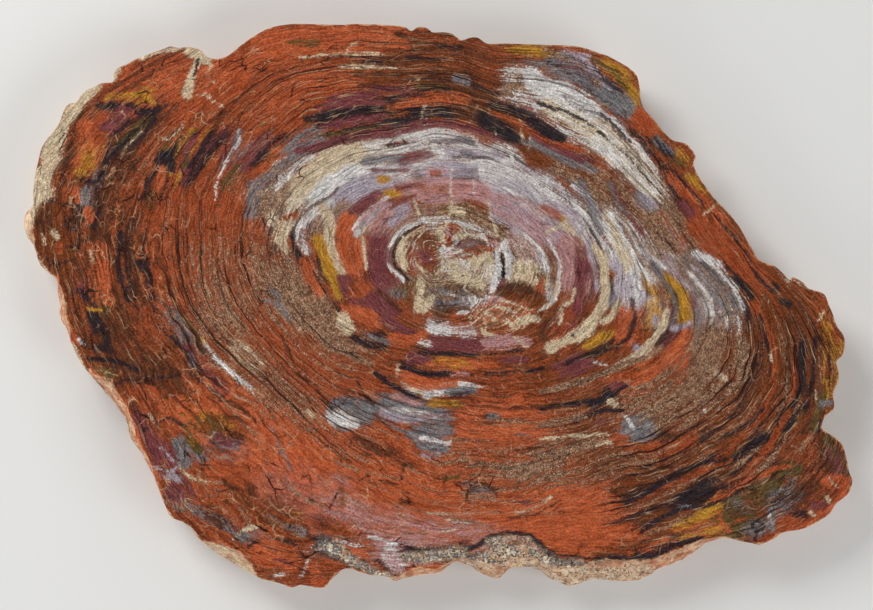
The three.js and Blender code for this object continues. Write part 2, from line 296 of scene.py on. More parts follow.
INNER_BANDS = """
pink 0.7 0.1 8,0.31 40,0.32 60,0.31 90,0.3 120,0.27
lavender 0.55 0.07 14,0.31 30,0.29 62,0.29
plum 0.75 0.09 -4,0.34 9,0.34
pink 0.6 0.03 -2,0.385 8,0.385
lavender 0.6 0.06 36,0.37 60,0.37
cream 0.4 0.05 20,0.36 44,0.37
white 0.75 0.19 34,0.45 60,0.44 90,0.46 104,0.46 120,0.45
white 0.8 0.13 118,0.45 140,0.43 158,0.42 168,0.42
cream 0.35 0.1 120,0.46 150,0.47 164,0.46
lavender 0.55 0.07 40,0.42 68,0.42
slate 0.35 0.09 74,0.38 96,0.38
lavender 0.6 0.09 74,0.38 96,0.37
brick 0.6 0.045 64,0.305 92,0.305
pink 0.5 0.05 62,0.3 94,0.31
orange 0.6 0.045 92,0.29 118,0.275
plum 0.6 0.025 101,0.34 109,0.34
plum 0.6 0.035 104,0.42 112,0.41 122,0.385
slate 0.55 0.05 112,0.33 130,0.35
lavender 0.55 0.05 132,0.36 156,0.36
plum 0.7 0.03 120,0.185 146,0.19
pink 0.6 0.035 132,0.19 168,0.19
plum 0.75 0.035 146,0.215 168,0.21
lavender 0.5 0.025 132,0.23 148,0.23
cream 0.7 0.022 158,0.245 174,0.24
plum 0.7 0.05 146,0.28 162,0.28
gold 0.8 0.02 132,0.28 140,0.28
gold 0.7 0.02 129,0.34 137,0.335
orange 0.7 0.05 158,0.29 171,0.285
orange 0.8 0.06 168,0.25 182,0.25
gold 0.9 0.028 170,0.325 180,0.315 186,0.3
gold 0.6 0.014 184,0.29 201,0.295
tan 0.75 0.06 154,0.34 174,0.345
slate 0.5 0.03 162,0.375 171,0.375
black 0.45 0.05 160,0.43 181,0.43
cream 0.4 0.05 158,0.44 178,0.42
black 0.7 0.012 171,0.405 176,0.39 185,0.36
white 0.6 0.12 -16,0.48 0,0.49 16,0.5
slate 0.45 0.04 14,0.5 42,0.5
tan 0.7 0.045 -4,0.435 21,0.435
orange 0.5 0.022 19,0.385 32,0.385
plum 0.35 0.05 23,0.425 33,0.43
gold 0.6 0.02 15,0.395 21,0.395
cream 0.85 0.016 12,0.31 17,0.345 21,0.4
plum 0.55 0.025 45,0.49 58,0.49
black 0.65 0.012 6,0.45 20,0.46 32,0.485 44,0.475
black 0.6 0.014 40,0.475 62,0.475
black 0.6 0.02 48,0.52 68,0.515
slate 0.65 0.018 78,0.45 92,0.45
slate 0.65 0.018 80,0.505 94,0.5
black 0.6 0.01 66,0.355 80,0.355 98,0.335
black 0.55 0.01 90,0.49 100,0.475 110,0.455 119,0.44
"""
LOWER_INNER_BANDS = """
plum 0.85 0.06 178,0.19 192,0.19 208,0.175
plum 0.8 0.035 202,0.225 222,0.225
slate 0.6 0.03 206,0.175 217,0.18
black 0.6 0.03 214,0.21 225,0.215
plum 0.75 0.04 215,0.26 231,0.255
orange 0.7 0.035 180,0.235 202,0.235
plum 0.5 0.03 187,0.27 197,0.27
orange 0.7 0.035 198,0.275 221,0.27
cream 0.95 0.04 205.5,0.315 211,0.325 215.5,0.335
black 0.75 0.028 221,0.3 233,0.305
black 0.65 0.014 216,0.33 232,0.33
black 0.75 0.012 178,0.335 188,0.32 194,0.305 201,0.3
orange 0.6 0.03 183,0.355 198,0.36
tan 0.7 0.1 184,0.4 206,0.38 228,0.38
slate 0.7 0.016 188,0.44 202,0.425
brick 0.6 0.14 200,0.5 240,0.48
white 0.6 0.045 244,0.215 264,0.215
cream 0.5 0.05 282,0.19 304,0.185 326,0.2
plum 0.9 0.045 251,0.262 268,0.262 286,0.262
pink 0.55 0.035 284,0.262 302,0.262
black 0.7 0.012 243,0.305 260,0.3 278,0.29
plum 0.75 0.03 243,0.33 256,0.325
gold 0.75 0.028 255,0.325 277,0.325
brown 0.5 0.03 277,0.32 300,0.31
black 0.75 0.016 244,0.355 254,0.37 271,0.35
orange 0.75 0.035 243,0.395 262,0.39 276,0.38
white 0.75 0.03 249,0.44 256,0.42 262,0.405 276,0.385
black 0.7 0.014 262,0.42 271,0.42
gold 0.6 0.028 259,0.45 271,0.45
orange 0.7 0.14 270,0.48 298,0.48
umber 0.55 0.03 279,0.47 285,0.47
slate 0.8 0.08 240,0.49 252,0.49 266,0.5
white 0.5 0.03 246,0.5 262,0.5
black 0.5 0.02 244,0.47 263,0.47
slate 0.75 0.06 254,0.56 267,0.565
slate 0.85 0.07 229,0.535 242,0.55
white 0.85 0.03 230,0.565 238,0.575
black 0.6 0.022 231,0.5 241,0.505
brown 0.6 0.05 330,0.34 348,0.35
umber 0.6 0.03 314,0.28 332,0.29 346,0.32
plum 0.7 0.08 344,0.34 362,0.35
pink 0.6 0.03 344,0.355 354,0.36
cream 0.9 0.026 313,0.325 320,0.325 326,0.345 332,0.365 340,0.395 346,0.405 352,0.41 361,0.43
cream 0.7 0.012 326,0.24 334,0.265 352,0.28
cream 0.7 0.012 324,0.285 334,0.29 346,0.31
cream 0.8 0.03 312,0.225 321,0.225
orange 0.5 0.03 332,0.22 346,0.225
slate 0.4 0.03 335,0.25 348,0.25
gold 0.8 0.035 324,0.395 335,0.43
black 0.7 0.014 321,0.4 328,0.42 332,0.44 341,0.48
plum 0.6 0.045 311,0.385 322,0.39
black 0.8 0.035 311,0.5 319,0.505
orange 0.6 0.06 333,0.46 346,0.47
cream 0.7 0.016 323,0.47 330,0.5 336,0.53 342,0.565 345,0.575
black 0.7 0.016 332,0.53 340,0.565 346,0.595 352,0.59 358,0.57
white 0.65 0.12 345,0.48 362,0.49
lavender 0.5 0.1 345,0.47 360,0.48
slate 0.8 0.025 341,0.42 351,0.42
gold 0.55 0.03 339,0.52 357,0.525
"""
OUTER_UPPER_BANDS = """
black 0.95 0.055 61,0.6 72,0.6 83,0.605
plum 0.75 0.02 68,0.565 82,0.57
umber 0.6 0.05 82,0.6 92,0.6
orange 0.4 0.06 82,0.58 92,0.58
black 0.8 0.045 92,0.605 104,0.6
black 0.7 0.05 103,0.575 120,0.555
plum 0.8 0.03 86,0.57 100,0.555 108,0.535 122,0.505
black 0.6 0.018 90,0.64 106,0.61
black 0.9 0.06 117,0.595 128,0.6 138,0.595
plum 0.65 0.04 120,0.58 132,0.59
plum 0.7 0.04 119,0.65 134,0.645
gold 0.5 0.01 119,0.535 137,0.55
black 0.8 0.024 118,0.525 128,0.52 147,0.52
plum 0.6 0.025 119,0.5 143,0.505
slate 0.65 0.08 137,0.56 149,0.555
white 0.5 0.06 146,0.53 163,0.525
black 0.6 0.014 141,0.61 148,0.6 157,0.59
plum 0.5 0.05 147,0.63 158,0.625
slate 0.5 0.03 151,0.66 160,0.655
black 0.75 0.03 151,0.715 165,0.705
plum 0.6 0.03 152,0.735 166,0.72
gold 0.6 0.012 153,0.76 160,0.745 167,0.72
olive 0.7 0.02 152,0.79 162,0.785
black 0.8 0.04 158,0.785 165,0.775
black 0.6 0.02 172,0.79 182,0.775
black 0.85 0.05 48,0.7 61,0.7
black 0.8 0.026 61,0.7 78,0.7
black 0.6 0.018 60,0.73 77,0.725
black 0.7 0.02 74,0.755 93,0.765
black 0.6 0.018 93,0.755 108,0.73
black 0.7 0.026 102,0.67 117,0.64
black 0.6 0.026 109,0.695 117,0.69
olive 0.5 0.03 92,0.715 104,0.71
slate 0.6 0.02 34,0.6 62,0.6
plum 0.7 0.03 42,0.63 58,0.63
orange 0.6 0.02 46,0.645 62,0.65
lavender 0.6 0.05 6,0.59 17,0.59
lavender 0.6 0.05 13,0.67 22,0.68
white 0.9 0.09 15,0.73 24,0.74 34,0.76 44,0.78
white 0.95 0.15 36,0.79 46,0.8 56,0.83 66,0.84
white 0.6 0.14 64,0.84 76,0.82
tan 0.35 0.1 58,0.84 76,0.84
black 0.85 0.014 6,0.745 14,0.745 20,0.755 30,0.77 38,0.8 46,0.815 57,0.81
black 0.6 0.016 10,0.75 16,0.78 22,0.8 30,0.85 34,0.875
black 0.6 0.014 10,0.83 20,0.84 30,0.86 38,0.88
slate 0.6 0.12 38,0.95 50,0.98 68,0.96
black 0.5 0.016 39,0.92 50,0.96 62,0.96
black 0.45 0.014 41,0.96 50,1 60,1
gold 0.85 0.05 39,0.97 43,1.03 48,1.07 54,1.08
lavender 0.6 0.08 54,1.04 63,1.02
gold 0.8 0.035 61,1.04 68,1 77,0.965
brick 0.7 0.09 -4,0.82 11,0.82
orange 0.6 0.05 10,0.81 22,0.83
plum 0.7 0.03 8,0.785 15,0.79
gold 0.7 0.03 14,0.875 20,0.885
black 0.8 0.035 24,0.9 33,0.91
brick 0.7 0.05 31,0.93 40,0.94
"""
OUTER_LEFT_BANDS = """
brick 0.7 0.14 118,0.88 140,0.88 152,0.86
orange 0.5 0.1 122,0.9 148,0.9
olive 0.45 0.04 122,0.9 129,0.9
black 0.5 0.012 90,0.88 106,0.85
black 0.6 0.014 104,0.85 109,0.88 114,0.88 121,0.855
cream 0.7 0.01 107,0.785 122,0.785
cream 0.7 0.01 107,0.835 122,0.835
orange 0.4 0.1 120,0.74 142,0.72
black 0.75 0.06 152,0.91 158,0.91
olive 0.6 0.03 155,0.9 163,0.9
plum 0.7 0.07 155,0.965 163,0.965
gold 0.6 0.04 161,0.955 168,0.95
gold 0.6 0.05 151,0.965 155,0.965
black 0.6 0.02 159,0.92 167,0.905
slate 0.5 0.04 167,0.91 174,0.905
umber 0.3 0.1 168,0.87 184,0.85 204,0.8
black 0.5 0.02 180,0.74 192,0.715
black 0.55 0.02 178,0.79 190,0.755
plum 0.5 0.03 198,0.675 210,0.67
white 0.8 0.009 199,0.638 212,0.618
black 0.6 0.02 184,0.865 198,0.845
umber 0.3 0.06 199,0.77 206,0.77
olive 0.5 0.03 183,0.84 190,0.84
gold 0.2 0.07 209,0.76 222,0.76
slate 0.5 0.03 212,0.84 219,0.845
plum 0.7 0.05 206,0.885 216,0.89
plum 0.7 0.04 213,0.93 222,0.94
slate 0.5 0.04 220,0.97 235,0.985
orange 0.6 0.12 218,0.73 242,0.75
"""
OUTER_LOWER_BANDS = """
umber 0.45 0.04 238,0.63 252,0.64
orange 0.7 0.1 250,0.7 272,0.7
pink 0.5 0.12 242,0.82 282,0.82
slate 0.55 0.03 271,0.69 279,0.69
umber 0.6 0.01 270,0.69 275,0.672 280,0.69
orange 0.75 0.12 280,0.8 302,0.8
orange 0.6 0.05 292,0.92 314,0.92
white 0.45 0.08 243,0.955 252,0.955
black 0.4 0.06 243,0.96 252,0.96
white 0.4 0.06 259,0.915 267,0.915
pink 0.55 0.1 254,0.93 262,0.93
black 0.8 0.01 266,0.925 270,0.91 273,0.895 276,0.86 279,0.82 284,0.81 286,0.85 290,0.875 301,0.89
slate 0.7 0.06 312,0.61 320,0.61
orange 0.6 0.07 322,0.54 334,0.55
orange 0.6 0.045 333,0.62 343,0.62
plum 0.8 0.05 336,0.58 346,0.6
gold 1 0.05 343.5,0.62 349.5,0.62
gold 1 0.05 349.5,0.605 355,0.605
lavender 0.5 0.07 352,0.62 361,0.63
white 0.75 0.13 346,0.71 361,0.7
slate 0.5 0.12 345,0.7 361,0.71
black 0.7 0.016 344,0.79 350,0.805 360,0.77
black 0.8 0.03 323,0.85 331,0.87
black 0.7 0.03 311,0.82 319,0.83
black 0.7 0.016 301,0.745 310,0.755 318,0.775 326,0.83 333,0.86
black 0.65 0.014 301,0.8 312,0.81 322,0.86 332,0.9 342,0.905
black 0.65 0.014 303,0.83 314,0.85 324,0.92 330,0.945
black 0.6 0.014 328,0.92 340,0.935 348,0.945
black 0.5 0.012 306,0.7 316,0.715 326,0.77 336,0.81 344,0.83
black 0.7 0.022 299,0.905 310,0.905
olive 0.7 0.08 314,0.94 324,0.95
slate 0.6 0.05 317,0.99 326,1
gold 0.55 0.035 309,0.88 318,0.885
gold 0.55 0.04 339,1.03 351,1.02
black 0.4 0.01 304,0.65 316,0.675 326,0.725 338,0.76
tan 0.5 0.012 318,0.84 336,0.9 352,0.87 368,0.82
tan 0.5 0.012 322,0.9 338,0.94 352,0.92 366,0.87
tan 0.45 0.012 328,0.97 340,0.99 352,0.97 364,0.92
brick 0.6 0.016 316,0.79 334,0.86 350,0.84 366,0.79
brick 0.6 0.014 320,0.87 338,0.92 352,0.895 366,0.845
tan 0.5 0.014 300,0.78 314,0.79 324,0.85
tan 0.5 0.011 234,0.66 252,0.665 268,0.67 284,0.68
tan 0.5 0.011 238,0.7 256,0.71 272,0.715 288,0.72
tan 0.45 0.011 242,0.745 260,0.75 276,0.755 292,0.755
tan 0.45 0.011 248,0.79 266,0.79 282,0.79
brick 0.5 0.014 238,0.682 256,0.688 276,0.695 288,0.7
brick 0.5 0.014 244,0.726 262,0.732 280,0.736
brick 0.45 0.014 248,0.768 266,0.77 286,0.772
tan 0.5 0.014 302,0.86 314,0.87 324,0.93
brick 0.5 0.016 300,0.76 312,0.77 324,0.84
"""

# Free strokes, one a line: what is painted, how strongly, how broad in millimetres, and the free
# places that it runs through
HEART_PATCHES = """
tan 0.85 84 436,262 500,264
cream 0.25 60 430,250 490,262
white 0.22 60 440,250 500,262
olive 0.3 40 420,296 466,300
tan 0.8 24 520,242 528,258
pink 0.35 22 518,240 530,256
white 0.3 20 520,240 536,262
brown 0.75 20 420,236 430,244 430,262
brick 0.6 24 424,258 428,258
plum 0.75 17 423,256 428,258
brick 0.7 6 412,250 410,260 414,272
pink 0.7 3.4 413,250 411,260 415,270
cream 1 12 401,243 402,254 405,264
cream 0.7 3 398,240 410,237 424,229
brown 0.6 4 408,248 407,260 409,272
black 0.7 2.6 426,258
white 0.7 2.4 431,259
cream 0.8 2.6 415,262 419,268 425,272
cream 1 8 441,231 443,238
black 0.7 2.4 444,232
cream 0.8 6 455,234 462,239
cream 0.5 14 452,262 456,276
white 0.75 9 445,246 447,256
pink 0.5 6 446,252 452,256
cream 0.85 3 441,242 442,256 442,268 436,274
pink 0.7 8 448,228 452,236
brick 0.95 5 447,238 452,242 446,246 441,245
umber 0.4 3 450,240 446,245
brick 0.8 4 437,222 442,225
brick 0.8 5 455,226 457,231
brick 0.6 4 454,250 457,256
brick 0.9 3 449,224 452,232 450,240
brown 0.55 13 464,245 482,246
plum 0.5 9 462,244 480,244
slate 0.3 9 466,246 482,244
cream 0.9 26 479,268 486,268
white 0.35 20 470,262 488,272
cream 0.9 14 461,278 478,282
tan 0.5 3 470,262 478,266 488,264
tan 0.5 3 471,271 480,274 489,272
black 0.8 2.4 463,276
cream 0.95 12 473,260 490,258
orange 0.35 3 470,267 478,270 486,269
slate 0.4 7 474,276
brick 0.8 3.5 466,250 480,247 488,250
brick 0.8 3 462,258 470,256 482,252 494,250 500,256
white 0.9 4 458,240 452,247 446,250 441,250
white 0.8 3 450,250 456,252 460,250
white 0.7 3 443,247 441,256
umber 0.85 15 502,290 520,290 538,296
brown 0.8 16 510,298 536,301
brick 0.6 8 536,283 542,291
cream 0.85 12 516,271 526,275 533,282
cream 0.8 8 512,278 520,272
plum 0.8 5 488,237 494,242 500,240
pink 0.9 6 493,244 497,247
brick 0.95 5 483,237 490,246 498,254
white 0.8 2.2 480,235 487,242 493,249
plum 0.5 11 497,256 499,270 495,282 492,290
white 1 5.5 498,252 498,262 499,270 496,279 493,286 492,291
white 1 7 498,272 495,282
brick 0.9 3 515,262 513,271 508,277
plum 0.6 4 507,277 501,282
white 0.95 5 504,246 507,254 510,262 510,270 508,276
slate 0.7 2.5 508,251 512,259 513,267
black 1 4 502,254 504,263 504,271 503,276
white 0.9 3 507,240 503,246 500,251
white 0.8 2.4 508,247 512,254 515,261
white 0.8 2.4 514,263 524,263 533,262
cream 0.7 14 520,268 532,270
cream 0.9 2.2 489,203 490,214 493,224 498,236
cream 0.8 2.4 452,196 451,210 447,222 443,230
cream 0.85 9 452,210 462,213
gold 0.35 6 444,210
white 0.55 6 426,221 446,220 462,224 478,229 492,235
white 0.9 4 424,220 412,226 402,231 394,239 388,248 387,258 390,266 397,273 403,280
black 0.9 2.8 424,223 412,230 402,237 395,246 393,256 396,265 402,272 407,280
white 0.9 4 512,220 520,228 530,239 539,248
white 1 5 540,249 545,260 547,272
white 0.5 9 549,286 551,297
cream 0.7 3 548,275 547,288
umber 0.55 4 440,289 460,287 478,289
slate 0.45 22 436,298 470,302
umber 0.35 10 440,310 470,312
white 0.6 2.4 446,294 460,298 476,299
white 0.5 2.4 458,314 470,313 478,309
white 0.4 8 462,303 492,304
pink 0.4 14 446,328 474,330
white 0.5 12 440,330 470,332
umber 0.5 10 436,317 450,315
cream 0.85 7 420,281 420,292 418,304
cream 0.9 9 424,306 430,300
cream 0.9 6 416,309 424,311
white 0.85 7 488,300 498,300
white 0.4 5 472,302 486,303
pink 0.6 8 492,300 502,302
brown 0.5 27 488,320 522,318
orange 0.45 26 488,318 524,314
cream 0.3 24 486,322 518,316
cream 0.8 2.6 500,302 512,303 524,308 534,311
cream 0.8 2.6 496,308 506,309 516,313
cream 0.7 2.6 484,312 494,318 500,326
cream 0.8 2.6 506,318 512,328
cream 0.8 3.4 484,318 486,328
cream 0.8 3.4 492,314 494,326
cream 0.8 4 481,328 485,335
cream 0.8 3 500,308 512,312
cream 0.8 3 503,321 512,325
cream 0.8 4 489,335 494,337
cream 0.7 3 470,318 472,328
cream 0.7 3.4 515,316 520,323
cream 0.9 6 521,321 530,319 540,320
white 0.8 9 430,329 444,331 450,333
umber 0.6 4 438,322 456,320 474,321
slate 0.7 6 424,113 440,112 454,113
black 0.7 2.6 412,108 430,107 455,109
slate 0.7 3 430,142 446,140 460,141 474,142
slate 0.6 5 456,140 470,139
plum 0.7 6 400,159 416,155 430,150
slate 0.45 9 366,160 382,158 400,160
lavender 0.6 10 446,152 470,153 498,156
slate 0.7 6 461,152 471,152
black 0.6 2.4 450,156 470,155 492,158
lavender 0.7 11 450,171 478,172
slate 0.4 10 452,171 476,172
white 0.9 5 481,165 482,178
pink 0.6 8 430,170 446,170
brick 0.6 4 431,173 440,172
white 0.6 12 392,172 408,174
pink 0.3 8 398,176 412,176
plum 0.5 6 396,187 424,186
pink 0.8 11 430,188 452,185 474,186 494,191
brick 0.4 8 428,190 450,187 470,187
lavender 0.6 14 496,172 512,180
plum 0.5 7 512,166 526,170 540,176
lavender 0.5 5 510,164 526,168 538,174
white 0.55 2.4 426,105 426,126
white 0.55 2.4 451,168 450,195
white 0.55 2.4 473,179 473,193
white 0.55 2.4 480,168 480,180
cream 0.8 2.4 489,108 489,120
cream 0.8 2.4 496,119 496,134
white 0.55 2.4 496,170 497,182 496,196
cream 0.6 2.4 517,108 521,124 524,145
white 0.8 2.4 508,150 512,164
white 0.8 2.4 531,135 529,150
cream 0.8 2.4 415,200 418,209 421,217
"""
RIGHT_PATCHES = """
brown 0.5 20 536,156 562,170 580,182
tan 0.6 12 556,166 584,186 604,206 630,232
white 0.55 30 500,180 530,186 556,200 580,222 592,240
lavender 0.45 22 500,188 530,194 556,208 578,228
lavender 0.6 24 500,214 530,222 550,232
pink 0.4 8 500,196 524,202 544,212
tan 0.45 3 510,196 540,204 562,220
pink 0.5 20 500,206 524,220 546,232
brick 0.6 7 545,206 554,211 561,218
white 0.95 5 534,182 546,188 556,196
slate 0.6 3 540,185 554,191 568,200 580,212 588,222
white 0.95 6 548,180 560,187 572,198 582,210 592,224
lavender 0.6 5 550,181 562,189 574,200
olive 0.5 3 564,190 580,203 592,216
white 0.9 6 574,186 586,196 596,210 606,226 612,238
lavender 0.6 4 576,188 588,199 598,213
slate 0.6 2.6 566,180 582,188 598,204 610,222
slate 0.7 5 590,224 597,234 602,243
black 0.6 2.6 588,222 595,234 602,248 608,262
gold 0.6 7 564,220 572,231
cream 0.7 6 566,226 574,234
cream 0.8 3 546,232 556,228 566,222
brick 0.8 5 534,132 550,140 566,145
plum 0.8 6 534,136 556,145 576,156 588,164
slate 0.8 8 532,142 552,151 572,161 594,170
pink 0.8 16 567,242 569,288
plum 0.55 26 576,296 566,326
brick 0.5 22 574,300 562,330
plum 0.75 13 582,250 583,280 578,308
lavender 0.7 8 588,238 595,262 597,290
white 0.85 2.4 548,238 556,253 560,268 560,285 557,299 545,310
cream 0.85 5 575,290 573,300 567,306
cream 0.8 5 563,310 560,322
slate 0.7 9 580,184 592,206 602,230
white 0.6 34 618,222 636,246 652,270
tan 0.4 20 612,214 640,246 662,276
cream 0.6 7 606,216 622,240 632,266
white 0.95 4 610,214 626,238 640,262 648,284
lavender 0.7 4 618,222 636,244 650,262
white 0.95 5 634,242 648,256 664,268
cream 0.7 5 612,232 620,252 626,272
slate 0.5 3 640,244 652,260 662,272 672,284
plum 0.4 3 630,262 638,278 646,290
tan 0.6 4 624,230 634,248 644,268
lavender 0.6 7 614,262 621,290
slate 0.5 5 634,236 650,258 664,276
cream 1 8 595,245 603,257 606,272 606,290 604,302
cream 1 12 602,306 596,318 588,329 578,336
cream 0.9 8 572,338 561,344 550,350
cream 0.9 5 619,304 612,316 603,322
umber 0.7 3 594,250 599,268 600,290 597,306
black 0.7 3.4 611,278 613,294
black 0.8 2.6 598,314
black 0.8 2.6 573,336
gold 0.6 6 588,346 600,340 613,334
black 0.65 4.5 632,300 635,320 627,338 610,349 590,355 568,364
plum 0.7 13 577,368 590,364
lavender 0.45 8 634,344 641,350
white 0.9 2.6 594,362 607,366
gold 0.5 9 646,284 652,292
gold 0.95 10 664,276 674,285 684,297
gold 1 11 685,300 685,318
plum 0.6 8 694,296 694,312
black 0.6 7 652,264 664,280 675,296 677,311 672,328 662,342
slate 0.5 6 652,264 664,280 675,296 677,311 672,328
gold 0.4 8 650,306 656,314
lavender 0.6 7 654,318 656,324
cream 0.95 7 667,312 663,326 654,340 645,350 636,357
tan 0.7 4 634,358 612,367 590,378
lavender 0.8 8 674,328 690,325
orange 0.85 14 685,336 677,352
plum 0.4 6 690,328 684,346
gold 0.5 4 682,340 672,352
slate 0.7 5 698,310 700,330 694,344
tan 0.6 30 690,262 710,280 726,306
slate 0.4 28 690,266 712,284 728,306
white 0.7 5 688,272 702,286 710,300 712,314
lavender 0.6 4 692,266 708,280 718,298 720,314
white 0.75 5 698,252 716,266 732,286 744,308
slate 0.6 4 704,262 722,278 736,302
white 0.5 4 704,254 722,266 738,288
slate 0.6 5 698,272 714,288 722,306
black 0.4 2.4 694,258 712,272 728,294 738,314
tan 0.5 2.6 700,250 720,262 736,280 748,300
gold 1 10 686,302 686,316
gold 1 8 670,278 680,290
black 0.9 5 728,264 740,279 753,297
brick 0.9 18 692,196 720,232 744,260 762,284
umber 0.8 3 700,206 726,240 748,268
plum 0.7 8 684,206 690,216
"""
LEFT_PATCHES = """
tan 0.8 24 262,208 280,192 300,178
tan 0.6 16 264,182 284,166 304,152
cream 0.7 26 300,188 326,164 350,152
white 1 15 316,198 330,184 352,171
lavender 0.7 12 336,198 352,187 378,180
white 0.8 12 330,203 312,212 303,224
white 0.7 10 299,228 299,240 307,252
cream 0.75 10 322,207 330,222 328,240 334,256 342,270
gold 1 10 316,240 320,253 327,267 334,283 338,294
orange 0.85 20 345,250 352,262
brick 0.5 8 344,246 350,262
orange 0.85 12 346,218 340,233
plum 0.75 7 350,212 366,200 378,193
white 0.8 3.4 352,230 360,218 374,206 390,196
pink 0.7 6 362,222 372,210 386,202
white 0.85 6 356,236 362,226 372,216
lavender 0.6 6 366,222 378,210 390,204
pink 0.4 4 360,228 372,214
cream 0.8 3.6 362,238 364,253 366,268
plum 0.9 20 378,244 380,276
pink 0.6 14 376,230 388,213
lavender 0.7 9 392,223 406,211
umber 0.7 5 380,292 392,304 400,312
plum 0.9 8 370,297 385,307 396,315
plum 0.85 10 342,280 346,291
plum 0.8 9 352,301 364,304 374,308
orange 0.9 11 346,307 360,317 377,325
plum 0.8 11 384,321 400,329 413,334
orange 0.8 9 392,337 410,341 424,334
cream 1 9 344,316 348,325 348,333
cream 0.9 3 339,317 337,326 344,333
black 0.8 7 354,337 368,344 384,348
slate 0.6 4 358,329 374,336 390,343
gold 0.8 7 381,178 386,179
gold 0.75 6 388,193 395,193
plum 0.7 4 374,170 392,170 409,170
slate 0.7 7 364,163 384,157 404,158
plum 0.6 4 400,160 420,155
umber 0.6 3 292,232 297,222 304,212 316,204 328,198 340,188
black 0.75 3.4 291,234 296,248 304,262 316,278 326,294 340,311
orange 0.8 7 303,262 311,278 320,293
slate 0.7 4 272,290 278,302 287,315
cream 0.8 8 270,214 273,222
cream 0.7 8 286,222 279,239
brick 0.8 7 287,217 295,214
orange 0.7 7 273,149 282,148
orange 0.8 6 262,168
cream 0.6 4 277,148
slate 0.5 14 268,178 290,160 310,146
white 0.6 8 276,186 292,170 312,158
umber 0.5 3 262,190 280,178 300,162
"""
UPPER_LEFT_PATCHES = """
orange 0.35 60 124,86 184,92
umber 0.2 90 120,110 110,190
orange 0.8 24 92,130 88,158
brick 0.8 14 100,118 100,140
gold 0.45 16 86,148 90,162
gold 0.7 6 108,99 122,96 140,94 153,102
black 0.8 7 98,106 112,107 130,106 146,109
black 0.8 7 134,112 148,113 158,108
plum 0.85 11 124,112 115,122 104,128
black 0.85 4.5 128,119 118,132 108,148 105,162
olive 0.8 3.4 138,122 126,136 116,150
black 0.85 4.5 156,110 140,126 124,144 112,158 100,177
olive 0.8 3.4 152,116 138,132 126,146
black 0.75 5 156,118 142,134 130,148
umber 0.85 4 82,106 76,124 70,142 66,160 62,180 60,196
black 0.6 8 80,178 90,180
olive 0.7 5 180,128 170,138 162,150
gold 0.6 5 192,130 182,146 174,160 168,176
plum 0.75 8 195,136 187,152 184,168
black 0.95 8 156,164 160,155 170,155 172,168
orange 0.9 6 162,168 161,178 158,186
black 0.8 3 168,172 164,188 159,204
black 0.85 7 211,134 200,150 190,165
black 0.8 4 153,172 147,184 145,198
olive 0.6 6 152,196 150,206
umber 0.7 7 224,114 215,124 213,135
umber 0.7 3 254,84 240,96 230,110
umber 0.6 3 250,100 238,122 224,144
plum 0.6 12 234,138 224,156
slate 0.6 7 238,132 236,146
white 0.6 2.4 238,130 238,141 229,152 222,168 216,186 215,200
tan 0.5 14 240,166 232,182
olive 0.5 12 238,168 226,186
plum 0.6 10 262,140 256,152 244,168
black 0.7 6 284,132 272,142 258,156 250,164
plum 0.5 5 246,180 250,192 266,182
slate 0.7 12 256,186 252,202 250,216
brown 0.7 34 54,212 56,248
umber 0.6 14 50,206 44,226
cream 0.85 6 53,234 57,238
cream 0.7 3 43,234 44,246
brick 0.8 9 60,248
black 0.7 3 42,256 56,264 70,261
black 0.7 3 42,204 56,200 66,208
umber 0.8 8 74,210 78,224
slate 0.8 7 87,190 84,201
orange 0.9 9 76,188 78,200
orange 0.9 11 88,211 93,219
black 0.75 3.4 81,206 85,222 94,229 100,210 97,186
black 0.7 3 64,206 72,202 80,208 84,220 78,230 68,226 64,214
black 0.6 3 58,232 66,228 80,232 78,246 64,248
black 0.7 2.6 92,181 100,180 104,186
umber 0.6 3 88,242 100,238 114,240
umber 0.85 4 112,236 96,240 80,241 74,250
orange 0.6 26 98,254 104,280 102,294
brown 0.4 5 92,256 94,280 92,296
cream 0.7 3 90,250 91,264
black 0.85 6 122,232 120,247 118,262 122,284 129,300
umber 0.6 9 130,250 138,280 142,304
black 0.8 8 140,262 144,270
black 0.65 4 149,258 151,282 157,302
plum 0.6 9 80,286 84,298
black 0.85 6 78,290 88,300
gold 0.7 4 88,310 102,310
black 0.75 9 90,316 100,326 106,338
cream 0.7 2.4 140,133 127,146 122,160
cream 0.7 2.4 114,168 109,177
cream 0.5 2.4 160,137 168,140 175,134 184,124
cream 0.5 2.4 196,97 204,95 214,103 224,109
cream 0.5 2.4 212,66 206,78 214,84
umber 0.6 10 134,160 124,180
olive 0.6 4 190,150 184,166
"""
